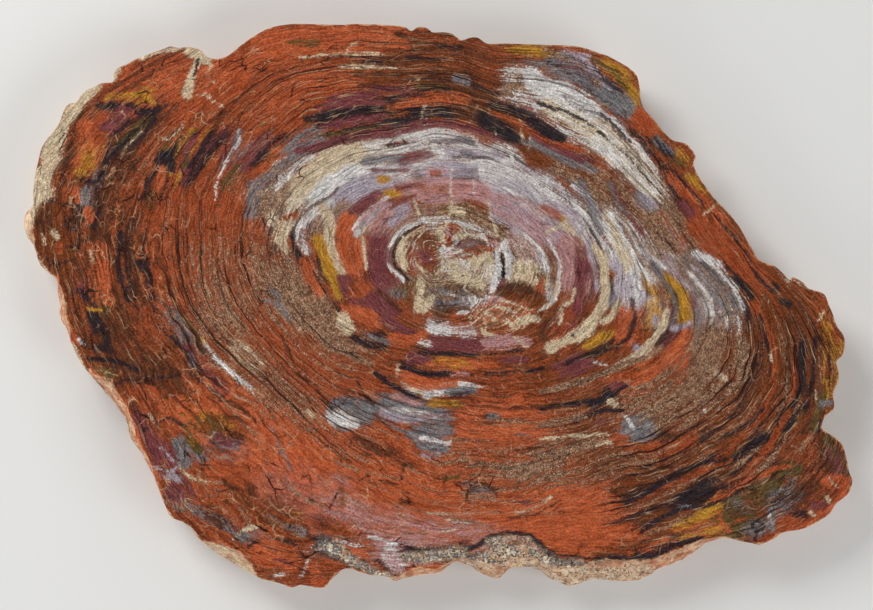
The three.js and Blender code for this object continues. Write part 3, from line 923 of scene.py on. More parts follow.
TOP_PATCHES = """
orange 0.6 30 262,44 330,38 396,38
olive 0.5 8 292,41 314,43
cream 0.75 2.4 300,57 340,55 378,53
cream 0.8 2.4 336,68 362,66 378,64
cream 0.5 2.4 346,50 358,42
black 0.8 4 364,62 382,61
black 0.75 3.4 408,58 436,59 458,56
umber 0.8 5 396,34 420,42 442,46 460,49
black 0.7 4 438,46 460,48
umber 0.75 3.4 356,76 420,74 452,74 478,84 498,97
slate 0.8 6 454,78 468,81
plum 0.8 10 330,99 356,95 384,91 408,89
black 0.75 4 384,98 400,94 424,90 448,90
orange 0.7 12 398,104 430,98 464,99
plum 0.7 8 340,106 384,102
black 0.9 9 306,120 330,114 354,111 382,109
plum 0.7 8 322,127 350,121 384,117
black 0.85 6 328,134 360,128 384,124 408,118
olive 0.8 2.8 318,137 344,131 376,126 402,122
plum 0.85 9 298,152 330,143 360,135 388,130
black 0.95 10 412,111 430,110 446,111
black 0.8 4.5 390,113 412,108
cream 0.5 2.4 420,121 424,104
cream 0.6 2.4 470,122 476,106
plum 0.85 6 404,128 424,122 446,122 462,126 480,131
umber 0.8 11 456,112 474,116
black 0.95 13 482,117 494,123 508,132
black 0.85 7 490,104 508,110 522,115
black 0.95 13 532,124 546,130 560,138
brick 0.75 6 492,112 520,124 550,142 582,148
plum 0.65 7 538,141 570,152 594,162
tan 0.7 12 506,90 520,84 532,92
white 1 20 532,82 560,92 590,108 616,134 640,162
white 0.9 20 560,112 584,128 606,150 630,176
cream 0.6 16 550,106 580,124 604,148 630,176
tan 0.45 6 542,112 564,124 588,146 604,164
slate 0.5 8 564,96 590,108 606,122
brown 0.5 2.6 560,122 580,134 600,150
brown 0.5 2.6 572,118 592,132 610,150
black 0.85 3.4 538,103 568,111 590,124 612,144 638,172
slate 0.9 18 556,63 586,77 612,97 630,112
lavender 0.7 12 562,56 586,57
gold 0.75 8 522,47 543,49
olive 0.5 6 556,52 568,56
tan 0.6 8 546,51 560,58
gold 0.6 8 604,58 622,70 634,86 637,97
olive 0.7 9 592,58 612,70 626,88
lavender 0.75 7 590,66 600,76 612,90
white 0.5 2.6 594,66 604,78 612,92
plum 0.4 10 560,64 580,72 596,84
slate 0.6 8 604,88 616,100 626,110
tan 0.5 3 566,60 584,70 600,86
black 0.6 2.6 572,58 590,68 606,80
black 0.75 3.4 590,62 604,80 622,93
black 0.6 3 548,62 576,78 600,98
orange 0.85 14 640,114 652,126
black 0.7 5 602,114 614,130 632,144
black 0.6 4 634,130 650,152 668,172
"""
LOWER_RIGHT_PATCHES = """
tan 0.5 44 640,408 680,400
tan 0.55 30 700,346 704,384
tan 0.8 16 744,348 744,380
tan 0.6 16 540,450 590,446
brick 0.7 14 615,440 660,450 690,440
tan 0.9 6 661,346 650,355 634,361 612,370 586,381 560,388 540,392
orange 0.7 14 676,346 668,358
tan 0.5 5 690,344 678,366 660,380 640,390
brown 0.5 4 664,352 648,366 626,376
brick 0.8 12 612,378 632,378
plum 0.8 8 615,386 628,386
black 0.9 4 540,409 557,406 575,404 592,401
black 1 9 592,402 600,400 608,396
black 0.85 4 608,396 618,391 628,387
cream 0.8 6 611,402 616,406
black 0.9 5 575,421 592,415 606,411 624,411
tan 0.8 4 540,426 557,423 573,420 588,417
plum 0.7 7 598,424 608,422
cream 0.7 3 540,439 557,437 573,436 592,436 609,434
umber 0.7 2.5 557,442 580,441
slate 0.75 22 630,424 644,430
white 0.6 5 626,418 634,430
slate 0.8 6 632,439 644,439
cream 0.9 3 658,432 660,436
umber 0.8 7 661,436 674,434
cream 0.7 6 598,446 611,443
cream 0.6 6 718,374 726,378
white 1 2.6 705,410
black 0.8 3 719,438 736,431 752,421 764,408
black 0.9 8 735,455 746,449 757,441 767,436
black 0.8 5 627,504 648,494 665,478 686,469 702,463 727,457
umber 0.8 3 612,490 640,485 660,474
black 0.9 9 684,502 698,498 712,491
slate 0.7 5 680,505 694,508
black 0.85 4 713,490 734,484 748,478
olive 0.75 14 782,472 798,470
olive 0.7 10 758,487 776,484
slate 0.55 14 776,492 792,492
olive 0.35 16 776,484 792,488
umber 0.6 5 772,500 792,496 804,486
olive 0.8 22 732,504 746,512
slate 0.3 10 736,500 748,508
brick 0.4 7 730,514 744,520
olive 0.5 7 756,478 776,470 790,462
gold 0.75 8 697,515 708,511 720,507
orange 0.6 14 686,530 712,528
gold 0.4 20 686,532 716,528
orange 0.9 4 718,513 721,524 729,532
orange 0.8 5 790,465 775,468 761,474 742,484 727,494 712,502
black 0.85 3.5 775,474 761,481 740,490 723,500 702,507 686,509 665,517 640,533
brown 0.8 14 752,504 762,512
black 0.8 2.5 752,524 758,520 764,526 758,531 752,526
black 0.9 2.5 756,532 755,542
slate 0.6 6 770,512 772,530
white 0.6 2.4 768,514 772,524
brick 0.7 14 782,520 806,522
black 0.9 8 796,515 804,516
plum 0.75 10 814,506 826,506
cream 0.8 2.4 809,511 815,519
cream 0.8 2.4 825,496 834,507
umber 0.7 30 826,446 838,466
umber 0.35 40 742,500 790,486 826,470
olive 0.35 16 830,440 842,470
umber 0.3 26 800,500 820,490
plum 0.5 16 832,452 838,470
olive 0.4 10 828,440 834,456
orange 0.8 14 826,480 842,482
cream 0.6 2.4 828,478 838,488
black 0.75 3 767,340 771,360 770,376
cream 0.8 3 772,356 773,362
umber 0.7 2.5 788,320 788,340 789,370
black 0.95 5 802,344 803,366 802,386 797,396 791,404
black 0.85 3 814,338 814,360 812,382 806,396
gold 0.6 4 824,350 824,382
black 0.8 2.6 829,342 829,386
gold 0.6 4 834,350 834,362
olive 0.6 8 824,396 818,414 812,430
black 0.9 6 806,404 798,414 790,424 786,431
gold 0.5 4 802,411 797,419
black 0.8 5 820,420 818,432
slate 0.7 6 822,404 831,402
cream 0.8 2.6 815,392 814,400
"""
UPPER_RIGHT_PATCHES = """
slate 0.85 18 606,98 622,110
white 0.8 16 612,124 636,152 652,172 658,188
white 0.9 18 600,140 624,164 644,182 658,196
cream 0.5 26 600,128 630,158 656,192
tan 0.4 3 606,132 630,158 652,184
brown 0.5 2.6 612,128 636,154 656,180
slate 0.35 7 612,164 624,176
slate 0.3 10 626,150 640,164
tan 0.8 18 664,202 682,224 698,242
black 0.9 3 597,131 609,142 625,156 638,170 650,182 662,193
black 0.75 3 604,116 618,128 630,142
black 0.8 4 630,128 642,137 651,148 659,160 665,174 673,188 684,202
brick 0.85 16 636,118 646,126
gold 0.45 14 680,152 686,160
olive 0.5 8 672,160 684,164
slate 0.9 7 657,139 666,146 673,152
black 0.7 4 655,137 664,146 672,154
gold 0.9 5 696,178 699,187
brick 0.9 30 700,226 724,250 740,262
orange 0.7 10 690,190 706,204 724,222
plum 0.8 9 686,204 692,213
black 0.85 3 668,164 680,178 694,192 708,209 721,221 734,237 746,256 760,277 773,292
cream 0.8 2.4 704,215 710,211 716,205
umber 0.6 2.6 668,206 684,228
umber 0.6 2.6 676,200 690,220
brown 0.55 20 616,176 630,192 644,222
tan 0.5 20 616,190 636,214 660,240
tan 0.6 14 650,212 676,244
pink 0.3 12 664,222 684,246
umber 0.5 12 612,190 626,212 640,230
slate 0.8 13 640,196 653,206
lavender 0.6 10 642,196 654,206
plum 0.7 4 611,182 620,200 632,222 646,236
slate 0.6 3 608,182 616,200 626,214
black 0.7 3 656,232 664,238 677,251
white 0.65 8 696,254 708,258 720,266
black 0.95 7 736,276 742,282 750,291
black 0.85 3 725,263 735,274 745,288 752,300 757,313
brick 0.9 7 752,304 758,314
black 0.85 4 760,316 763,332 769,346
black 0.8 5 774,284 779,289
black 0.8 6 783,300 790,305
cream 0.7 2.4 787,281 794,277 806,287
cream 0.8 2.4 817,322 824,311
cream 0.6 2.4 819,332
gold 0.6 6 841,340 842,350
"""
LOWER_LEFT_PATCHES = """
pink 0.35 50 280,490 330,500
slate 0.5 16 170,312 184,334
cream 0.5 16 238,348 256,366
orange 0.85 26 264,552 286,560
black 0.7 3 250,545 258,540 271,538 285,540 298,546 304,557
slate 0.6 7 240,536 250,534 260,534
cream 0.6 2.4 233,540 242,531 251,528 260,527
umber 0.4 12 270,517 288,526 304,532
slate 0.45 8 270,517 288,526 304,532
cream 0.5 3 276,520 296,531
umber 0.7 3 285,538 300,542 319,538
plum 0.9 16 150,442 158,452
plum 0.8 12 168,456 172,466
lavender 0.6 6 166,475 178,478
plum 0.9 18 172,490 176,496
lavender 0.8 2.4 154,465 163,469 171,471 177,466
lavender 0.7 2.4 161,446 168,453 174,462
slate 0.5 7 176,508 186,508
brick 0.7 16 126,392 150,394
black 0.7 2.6 142,431 158,423 169,417 185,425 194,429
black 0.75 2.6 113,386 121,380 136,379 152,377 165,379 178,375
cream 0.8 3 150,415 155,421
olive 0.6 12 90,372 110,374
black 0.9 5 88,358 108,360 121,363 136,371
black 0.8 9 96,346 104,348
white 0.7 3 77,338 83,344
black 0.6 4 80,336 84,346
black 0.6 12 92,316 94,330
gold 0.6 4 88,308 96,310
black 0.85 3.5 158,325 169,337 185,350 192,360 202,372
slate 0.5 6 189,355 193,364
gold 0.7 2.4 185,317 196,333 206,344
white 0.75 2.2 213,358 225,367 235,377 241,385
slate 0.8 4 267,300 281,308 290,321
umber 0.8 2.5 281,335 288,350 300,377 313,384 330,408
cream 0.7 6 306,411 312,415
slate 0.8 6 308,429
olive 0.55 20 192,424 216,422 240,430
gold 0.25 20 208,420 228,428
brown 0.5 26 214,426 232,440
gold 0.6 5 200,412 203,418
olive 0.8 10 190,440 200,450
gold 0.5 4 190,438 194,446
slate 0.45 22 212,446 240,452
plum 0.5 14 218,440 236,444
umber 0.5 10 176,444 183,460
slate 0.7 11 178,442 186,464
cream 0.55 2.4 177,467 185,473 200,480 223,483
umber 0.8 2.6 223,479 233,487 244,490 258,488
gold 0.7 5 296,512 301,514
umber 0.7 14 208,516 220,526
umber 0.5 10 200,508 224,506
umber 0.7 2.4 218,400 232,401 246,412 258,424
tan 0.7 2.4 222,404 236,415 250,430 260,447 268,462
slate 0.7 3 270,425 278,442 286,458 291,470
tan 0.7 2.4 228,487 246,501 266,516 286,528 300,538
black 0.6 2.6 190,372 202,384 214,392 224,396
tan 0.6 2.4 262,470 282,484 304,498 326,508
brown 0.4 30 250,500 290,520
"""
LOWER_MIDDLE_PATCHES = """
tan 0.7 26 520,472 556,472
plum 0.9 11 434,345 458,347 480,345
white 0.7 5 421,342 430,344
pink 0.7 9 486,343 508,340 528,342
cream 0.6 4 514,338 526,346
plum 0.9 10 412,360 426,360
orange 0.5 9 430,363 448,363
gold 0.2 9 430,363 448,363
orange 0.6 11 452,365 470,366
gold 0.25 10 452,365 470,366
orange 0.7 9 474,364 496,365
plum 0.8 8 502,360 524,360
black 0.9 3 419,352 449,355 473,356 502,354 522,350
black 0.9 5 404,368 421,372 440,375
black 0.8 3 440,375 468,375 502,373 525,371 542,368
cream 0.8 3 399,364 398,377
umber 0.5 2.6 392,360 410,366 424,370
orange 0.9 12 412,381 432,384 454,384
pink 0.5 5 450,377 466,376
black 0.95 5 376,373 383,378 390,385 404,392 418,398
cream 0.8 3 402,383 414,390 428,394
white 0.8 9 428,395 438,393 448,391
slate 0.85 11 450,392 460,391 472,388
black 0.5 4 452,396 470,392
pink 0.7 7 394,398 408,402 420,404
gold 0.55 9 430,405 444,404 458,404
slate 0.85 4 380,404 404,406 421,408 438,410
lavender 0.7 8 384,412 400,418 420,420 440,416
plum 0.5 6 424,416 444,416
slate 0.9 3 383,418 397,427 411,432 424,436
slate 0.7 13 428,429 446,430
white 0.9 4.5 422,438 434,441 448,444
slate 0.85 5 419,446 434,449 446,450
lavender 0.6 5 424,453 438,455
slate 0.9 8 331,408 345,403 358,402 372,410
black 0.6 4 331,408 345,402 358,402
white 0.9 12 334,420 346,422 354,424
white 1 6 330,417 342,421 356,427
slate 0.5 5 336,427 350,430
black 0.8 3 357,380 364,394 374,404
umber 0.7 2.6 300,425 314,434 340,455 352,463
umber 0.7 6 375,447 379,453
umber 0.7 2.6 357,437 369,442
umber 0.8 2.6 400,482 403,472 404,465 412,467
umber 0.8 3 359,482 369,477
umber 0.7 2.6 383,482 397,484
tan 0.5 20 474,494 490,494
slate 0.3 12 476,494 488,494
umber 0.85 2.6 466,501 467,492 475,486 486,484 494,489 497,497
plum 0.7 9 518,500 528,503
olive 0.6 6 444,480 458,479
slate 0.8 7 491,416 496,417
umber 0.6 5 510,408 535,407 560,404
tan 0.6 4 466,422 500,420 530,424 560,420
slate 0.6 4 516,434 530,435
umber 0.7 3 506,453 516,449 542,446 560,442
umber 0.8 3 509,519 534,516 549,508 560,501
cream 0.6 2.6 516,513 536,508 552,498
cream 0.5 2.4 428,513 460,515 500,513
cream 0.7 3 442,529 454,531
white 0.7 3 369,536 384,539 400,543
cream 0.6 2.4 470,543 483,543
cream 0.6 2.4 446,520 470,524
olive 0.4 7 340,490 343,506
brown 0.5 8 402,502 410,502
"""
RIM_PATCHES = """
cream 1 14 94,84 74,108 60,132
cream 1 20 54,138 48,164 42,192
cream 1 12 38,196 30,214 24,226
cream 0.9 5 113,80 118,68
cream 0.85 6 140,58 158,51 180,47
cream 1 12 190,50 198,54 206,58
cream 1 9 198,60 193,72 189,84 188,96
black 0.9 4 198,60 196,68 193,76
cream 0.95 9 20,222 22,238 34,263 46,275
orange 0.9 9 54,280 57,306 63,323 70,340
cream 0.8 3 72,344 80,362 88,378
orange 1 9 90,372 104,385 120,402 130,420 137,440 146,460 154,474 160,492
cream 0.5 4 88,370 102,383 117,399 127,418
cream 1 8 82,378 98,397 110,412 119,430 126,447
cream 0.9 3.5 140,460 148,476 156,494 164,508
cream 1 6 165,512 176,523 188,534 204,547
cream 1 12 213,549 228,553 241,562 251,575
orange 0.5 5 218,543 232,548 244,557
cream 0.9 4 256,581 273,584 290,589
white 0.6 4 274,577 284,573
white 0.6 3 300,578 305,570 309,560
plum 0.5 8 276,560 290,564
orange 0.8 12 312,570 317,584
plum 0.5 6 319,577
black 0.6 22 322,544 338,552 356,564
pebbles 0.85 15 324,545 340,552 354,562
pebbles 0.9 9 356,564 372,573 388,578
white 0.8 3 328,546 336,552
white 0.7 3 344,556 352,562
black 0.7 7 378,560 386,568 396,574
plum 0.5 12 386,556 402,566
orange 0.8 10 346,549 362,554
orange 0.6 8 346,571 366,574
white 0.7 18 391,550 397,566
pink 0.6 14 392,556 396,566
black 0.6 14 404,552 430,552 462,548
pebbles 0.85 12 404,556 430,557 462,552
slate 0.5 6 424,556 436,558
orange 0.75 11 416,570 444,570
pebbles 1 26 474,566 500,556 530,560 556,574 600,580 642,576
cream 0.7 14 486,560 505,550 528,554
slate 0.8 9 497,558 504,558
orange 1 11 602,570 640,566 662,566 680,560 696,554 714,545
cream 0.6 4 640,576 664,572 690,560 712,548
white 0.5 7 478,556 500,552 520,556
black 0.95 6 406,546 420,551 440,555 462,550 478,544 490,536 508,533 530,536 540,544 549,554
black 0.95 6 549,556 561,561 582,566 602,561 623,559 638,557 657,556 673,546 686,543 702,539
black 0.8 3.5 319,541 330,540 344,547 358,559
white 0.5 2.4 404,553 422,557 438,559
white 0.4 2.4 480,547 494,540 510,538
pebbles 0.7 8 488,541 510,538 530,541
umber 0.6 6 494,548 520,544
cream 0.4 12 604,574 640,576
black 0.9 2.4 637,548 638,560
orange 0.9 6 850,488 836,505 814,521 792,531 776,538 766,547
cream 0.8 3 752,547 738,543 724,540
"""

RING_BLOCKS = (
    BROAD_BANDS, INNER_BANDS, LOWER_INNER_BANDS, OUTER_UPPER_BANDS, OUTER_LEFT_BANDS,
    OUTER_LOWER_BANDS,
)
FREE_BLOCKS = (
    HEART_PATCHES, RIGHT_PATCHES, LEFT_PATCHES, UPPER_LEFT_PATCHES, TOP_PATCHES,
    LOWER_RIGHT_PATCHES, UPPER_RIGHT_PATCHES, LOWER_LEFT_PATCHES, LOWER_MIDDLE_PATCHES,
    RIM_PATCHES,
)


def smoothstep(t):
    t = np.clip(t, 0, 1)
    return t * t * (3 - 2 * t)


LATTICE_STEPS = (127.1, 311.7, 74.7)
LATTICE_STRETCH = 43758.5453


def corner_value(i, j, k):
    """A repeatable number from 0 to 1 for each corner of the noise lattice."""
    across, up, deep = LATTICE_STEPS
    mixed = np.sin(i * across + j * up + k * deep) * LATTICE_STRETCH
    return mixed - np.floor(mixed)


def value_noise(x, y, z):
    """Smooth noise from 0 to 1 at points whose sides are already divided by a lump's size."""
    x, y, z = np.broadcast_arrays(x, y, z)
    i, j, k = np.floor(x), np.floor(y), np.floor(z)
    u, v, w = smoothstep(x - i), smoothstep(y - j), smoothstep(z - k)
    total = np.zeros(x.shape)
    for di in (0, 1):
        for dj in (0, 1):
            for dk in (0, 1):
                share = (u if di else 1 - u) * (v if dj else 1 - v) * (w if dk else 1 - w)
                total += share * corner_value(i + di, j + dj, k + dk)
    return total


def centripetal_span(before, start, end, after, t):
    """Points at t from 0 to 1 on one span of a centripetal Catmull-Rom curve."""
    gaps = [math.dist(a, b) ** 0.5 for a, b in ((before, start), (start, end), (end, after))]
    entry = (start - before) / gaps[0] - (end - before) / (gaps[0] + gaps[1])
    entry = (entry + (end - start) / gaps[1]) * gaps[1]
    leave = (end - start) / gaps[1] - (after - start) / (gaps[1] + gaps[2])
    leave = (leave + (after - end) / gaps[2]) * gaps[1]
    t = t[:, None]
    return (
        start * (2 * t**3 - 3 * t**2 + 1) + end * (3 * t**2 - 2 * t**3)
        + entry * (t**3 - 2 * t**2 + t) + leave * (t**3 - t**2)
    )


def outline_points():
    """The drawn outline as x, y and flare about the slab's middle, counterclockwise."""
    drawn = about_middle(np.array(OUTLINE, float)[::-1])
    count = len(drawn)
    spans = []
    for i in range(count):
        corners = [drawn[(i + step) % count] for step in (-1, 0, 1, 2)]
        pieces = max(1, round(math.dist(corners[1][:2], corners[2][:2]) / RIM_STEP))
        spans.append(centripetal_span(*corners, np.arange(pieces) / pieces))
    return np.concatenate(spans)


def about_middle(drawn):
    """Places on the drawing, right and down, as x and y about the slab's middle."""
    drawn[:, 0] -= DRAWING_MIDDLE[0]
    drawn[:, 1] = DRAWING_MIDDLE[1] - drawn[:, 1]
    return drawn


def outward_directions(points):
    """The direction in which the side wall faces at each point of the outline."""
    reach = round(LEAN_STRETCH / RIM_STEP)
    along = np.roll(points, -reach, axis=0) - np.roll(points, reach, axis=0)
    outward = np.stack([along[:, 1], -along[:, 0]], axis=1)
    return outward / np.linalg.norm(outward, axis=1, keepdims=True)


def lumps(shape, x, y, depth):
    """One kind of relief on the side wall, as how far it cuts in."""
    width = shape["width"]
    across = x / width + shape["offset"]
    return shape["depth"] * value_noise(across, y / width, depth / shape["length"])


def wall_relief(x, y, depth, flare):
    """How far the relief cuts back the wall: ridges along the grain, lumps and broken ledges."""
    relief = lumps(RIDGE, x, y, depth) + lumps(LUMP, x, y, depth)
    along = y / LEDGE["width"] + LEDGE["offset"]
    broken = value_noise(x / LEDGE["width"], along, 0) > LEDGE["start"]
    below = min(max((depth - LEDGE["top"]) / LEDGE["fall"], 0), 1)
    flared = np.clip(flare / FULL_FLARE, 0, 1)
    mean = (RIDGE["depth"] + LUMP["depth"]) / 2
    relief = (relief - mean * flared + LEDGE["depth"] * broken * below) * (1 - FLARED_CALM * flared)
    return relief + lumps(CRUMB, x, y, depth) - CRUMB["depth"] / 2


def wall_rings():
    """Rings of wall vertices from the rim of the face down to the underside."""
    points = outline_points()
    outward = outward_directions(points[:, :2])
    x, y, flare = points.T
    depths, reaches, roughs = np.array(WALL_PROFILE).T
    rings = []
    for depth in WALL_ROWS:
        undercut = flare * (depth / THICKNESS) ** UNDERCUT_POWER
        lean = np.where(flare > 0, flare * np.interp(depth, depths, reaches), undercut)
        relief = np.interp(depth, depths, roughs) * wall_relief(x, y, depth, flare)
        offset = lean - relief - np.maximum(flare, 0)
        ring = np.column_stack([points[:, :2] + outward * offset[:, None], 0 * x])
        ring[:, 2] = THICKNESS - depth
        rings.append(ring)
    return rings


def grid_points(rim, step, seed):
    """Jittered points of a triangular grid over the rim's box, clear of the rim."""
    random = np.random.default_rng(seed)
    low, high = rim.min(axis=0), rim.max(axis=0)
    rise = step * math.sqrt(3) / 2
    down = np.arange(low[1], high[1], rise)
    across = np.arange(low[0], high[0], step)
    x, y = np.meshgrid(across, down)
    x = x + (np.arange(len(down)) % 2)[:, None] * step / 2
    spots = np.column_stack([x.ravel(), y.ravel()])
    spots += random.uniform(-GRID_JITTER, GRID_JITTER, spots.shape) * step
    near_rim = KDTree(len(rim))
    for index, (u, v) in enumerate(rim):
        near_rim.insert((u, v, 0), index)
    near_rim.balance()
    clear = [near_rim.find((u, v, 0))[2] > RIM_CLEARANCE * step for u, v in spots]
    return spots[clear]


def flat_cut(rim, step, seed):
    """A triangulated flat face inside a rim: its points with the rim first, and its triangles."""
    spots = np.concatenate([rim, grid_points(rim, step, seed)])
    edges = [(i, (i + 1) % len(rim)) for i in range(len(rim))]
    inside_only = 1
    corners = [Vector(spot) for spot in spots]
    made = delaunay_2d_cdt(corners, edges, [], inside_only, MERGING_DISTANCE)
    points = np.array([tuple(point) for point in made[0]])
    faces = np.array(made[2])
    order = np.full(len(spots), -1)
    for new, sources in enumerate(made[3]):
        for source in sources:
            order[source] = new
    used = np.unique(faces)
    inner = np.setdiff1d(used, order[: len(rim)])
    keep = np.concatenate([order[: len(rim)], inner])
    renumbered = np.full(len(points), -1)
    renumbered[keep] = np.arange(len(keep))
    return points[keep], renumbered[faces]


def facing_up(points, faces):
    """The triangles, each turned to face up."""
    a, b, c = (points[faces[:, i]] for i in range(3))
    turn = (b[:, 0] - a[:, 0]) * (c[:, 1] - a[:, 1]) - (b[:, 1] - a[:, 1]) * (c[:, 0] - a[:, 0])
    return np.where((turn > 0)[:, None], faces, faces[:, ::-1])


def wall_triangles(rows, count):
    """Two triangles for each step along each strip between two rings of the side wall."""
    here = np.arange(count)
    following = (here + 1) % count
    wall = []
    for row in range(rows):
        upper, lower = row * count, (row + 1) * count
        wall.append(np.column_stack([upper + here, lower + here, upper + following]))
        wall.append(np.column_stack([upper + following, lower + here, lower + following]))
    return np.concatenate(wall)


def slab_shape():
    """Vertices in millimetres, triangles, their material numbers, and a wall ring's count."""
    rings = wall_rings()
    count = len(rings[0])
    rows = len(rings) - 1
    face_points, face = flat_cut(rings[0][:, :2], FACE_STEP, seed=1)
    cut_points, cut = flat_cut(rings[-1][:, :2], UNDERSIDE_STEP, seed=2)
    face = facing_up(face_points, face)
    cut = facing_up(cut_points, cut)[:, ::-1]
    wall_vertices = np.concatenate(rings)
    face_inner = face_points[count:]
    face_inner = np.column_stack([face_inner, np.full(len(face_inner), THICKNESS)])
    cut_inner = cut_points[count:]
    cut_inner = np.column_stack([cut_inner, np.zeros(len(cut_inner))])
    vertices = np.concatenate([wall_vertices, face_inner, cut_inner])
    face_start = len(wall_vertices) - count
    face = np.where(face < count, face, face + face_start)
    cut_start = face_start + len(face_inner)
    cut = np.where(cut < count, cut + rows * count, cut + cut_start)
    wall = wall_triangles(rows, count)
    triangles = np.concatenate([face, wall, cut])
    kinds = np.repeat([FACE_KIND, WALL_KIND, CUT_KIND], [len(face), len(wall), len(cut)])
    middle = (vertices.min(axis=0) + vertices.max(axis=0)) / 2
    vertices[:, :2] -= middle[:2]
    return vertices, triangles, kinds, count


def reference_radius(bearing):
    """The reference radius in millimetres at bearings in degrees."""
    radius = MEAN_RADIUS * np.ones_like(bearing, float)
    for count, size, crest in RADIUS_WAVES:
        radius = radius + size * np.cos(np.radians(count * (bearing - crest)))
    return radius


def guide_table():
    """Each guide ring's share at every whole degree, with its corners rounded."""
    degrees = np.arange(360)
    window = np.hanning(2 * RING_SMOOTHING + 1)
    window /= window.sum()
    shares = []
    for _, places in GUIDE_RINGS:
        bearings, values = np.array(places, float).T
        ring = np.interp(degrees, bearings, values, period=360)
        around = np.concatenate([ring[-RING_SMOOTHING:], ring, ring[:RING_SMOOTHING]])
        shares.append(np.convolve(around, window, mode="valid"))
    return np.array(shares)


GUIDE_SHARES = guide_table()
GUIDE_GROWTH = np.array([growth for growth, _ in GUIDE_RINGS], float)


def guides_at(bearing):
    """Every guide ring's share at some bearings, one row for each ring."""
    return np.array([np.interp(bearing, np.arange(360), row, period=360) for row in GUIDE_SHARES])


def growth_at(bearing, share):
    """Millimetres of growth from the pith at ring places."""
    guides = guides_at(bearing)
    growth = GUIDE_GROWTH[-1] + (share - guides[-1]) * MEAN_RADIUS
    for ring in range(len(guides) - 1, 0, -1):
        inner, outer = guides[ring - 1], guides[ring]
        along = (share - inner) / (outer - inner)
        between = GUIDE_GROWTH[ring - 1] + along * (GUIDE_GROWTH[ring] - GUIDE_GROWTH[ring - 1])
        growth = np.where(share < outer, between, growth)
    return growth


def share_of(bearing, growth):
    """The share at which a ring of some growth lies at one bearing."""
    guides = guides_at(bearing)
    if growth > GUIDE_GROWTH[-1]:
        return guides[-1] + (growth - GUIDE_GROWTH[-1]) / MEAN_RADIUS
    return np.interp(growth, GUIDE_GROWTH, guides)


# The painter
STROKE_WANDER = ((30, 3.2), (9, 1.6))  # size and reach in millimetres of each wave of wandering
RING_WANDER = ((62, 9.0), (27, 4.5), (10, 1.6))
EDGE_START, EDGE_FADE = 1.3, 0.7  # where a stroke's side ends, in half breadths, and its fade
END_FADE = 0.3  # share of a ring stroke's length over which each end fades
LEAST_END_FADE, MOST_END_FADE = 5.0, 40.0
END_MIDDLE = 0.5  # how far through its fade a stroke is at its first and last place
RAGGED = 0.9  # how far single rings run past the end of a stroke, as a share of the fade
RAGGED_RING = 2.2  # millimetres of growth that run together
RAGGED_ARC = 40  # degrees over which a ring's run changes
SWELL = {"size": 16, "least": 0.65, "most": 1.35}  # how a stroke's breadth varies along it
LEAST_HALF_BREADTH = 1.2  # millimetres
LEAST_AMOUNT = 0.01  # a fainter touch of a texture doesn't clear what lies below it
SHORTEST_RUN = 0.001  # square millimetres, for a stroke of one place
CALM_SHARE = 0.3  # inside this share the rings wander less
HEART_SHARE = 0.17  # inside this share the fibres swirl instead
HEART_EDGE = 1.6  # how sharply the swirl fades out there
HEART_SWIRL = ((19, 46.0), (8, 9.0))
END_MARGIN = 12.0  # degrees past a ring stroke's ends that are looked at
WHOLE_RING = 359  # degrees from which a ring stroke has no ends
SEEDS = {
    "stroke right": 3.7, "stroke up": 51.3, "ring": 17.9, "heart": 33.1, "ragged": 5.0,
    "swell": 9.0,
}

# Shares of the breadth of the image that the colours are baked to
FACE_SHARE = 0.995
UNDERSIDE_SHARE = 0.42
WALL_STRIPS = 4
STRIP_HEIGHT = 0.07
WALL_STRIP_FILL = 0.85
MAP_GAP = 0.01


def wander(waves, x, y, seed):
    """How far a place is moved along one axis, so that no ring is quite smooth."""
    total = 0
    for size, reach in waves:
        total = total + reach * (value_noise(x / size + seed, y / size, seed) - 0.5)
    return total


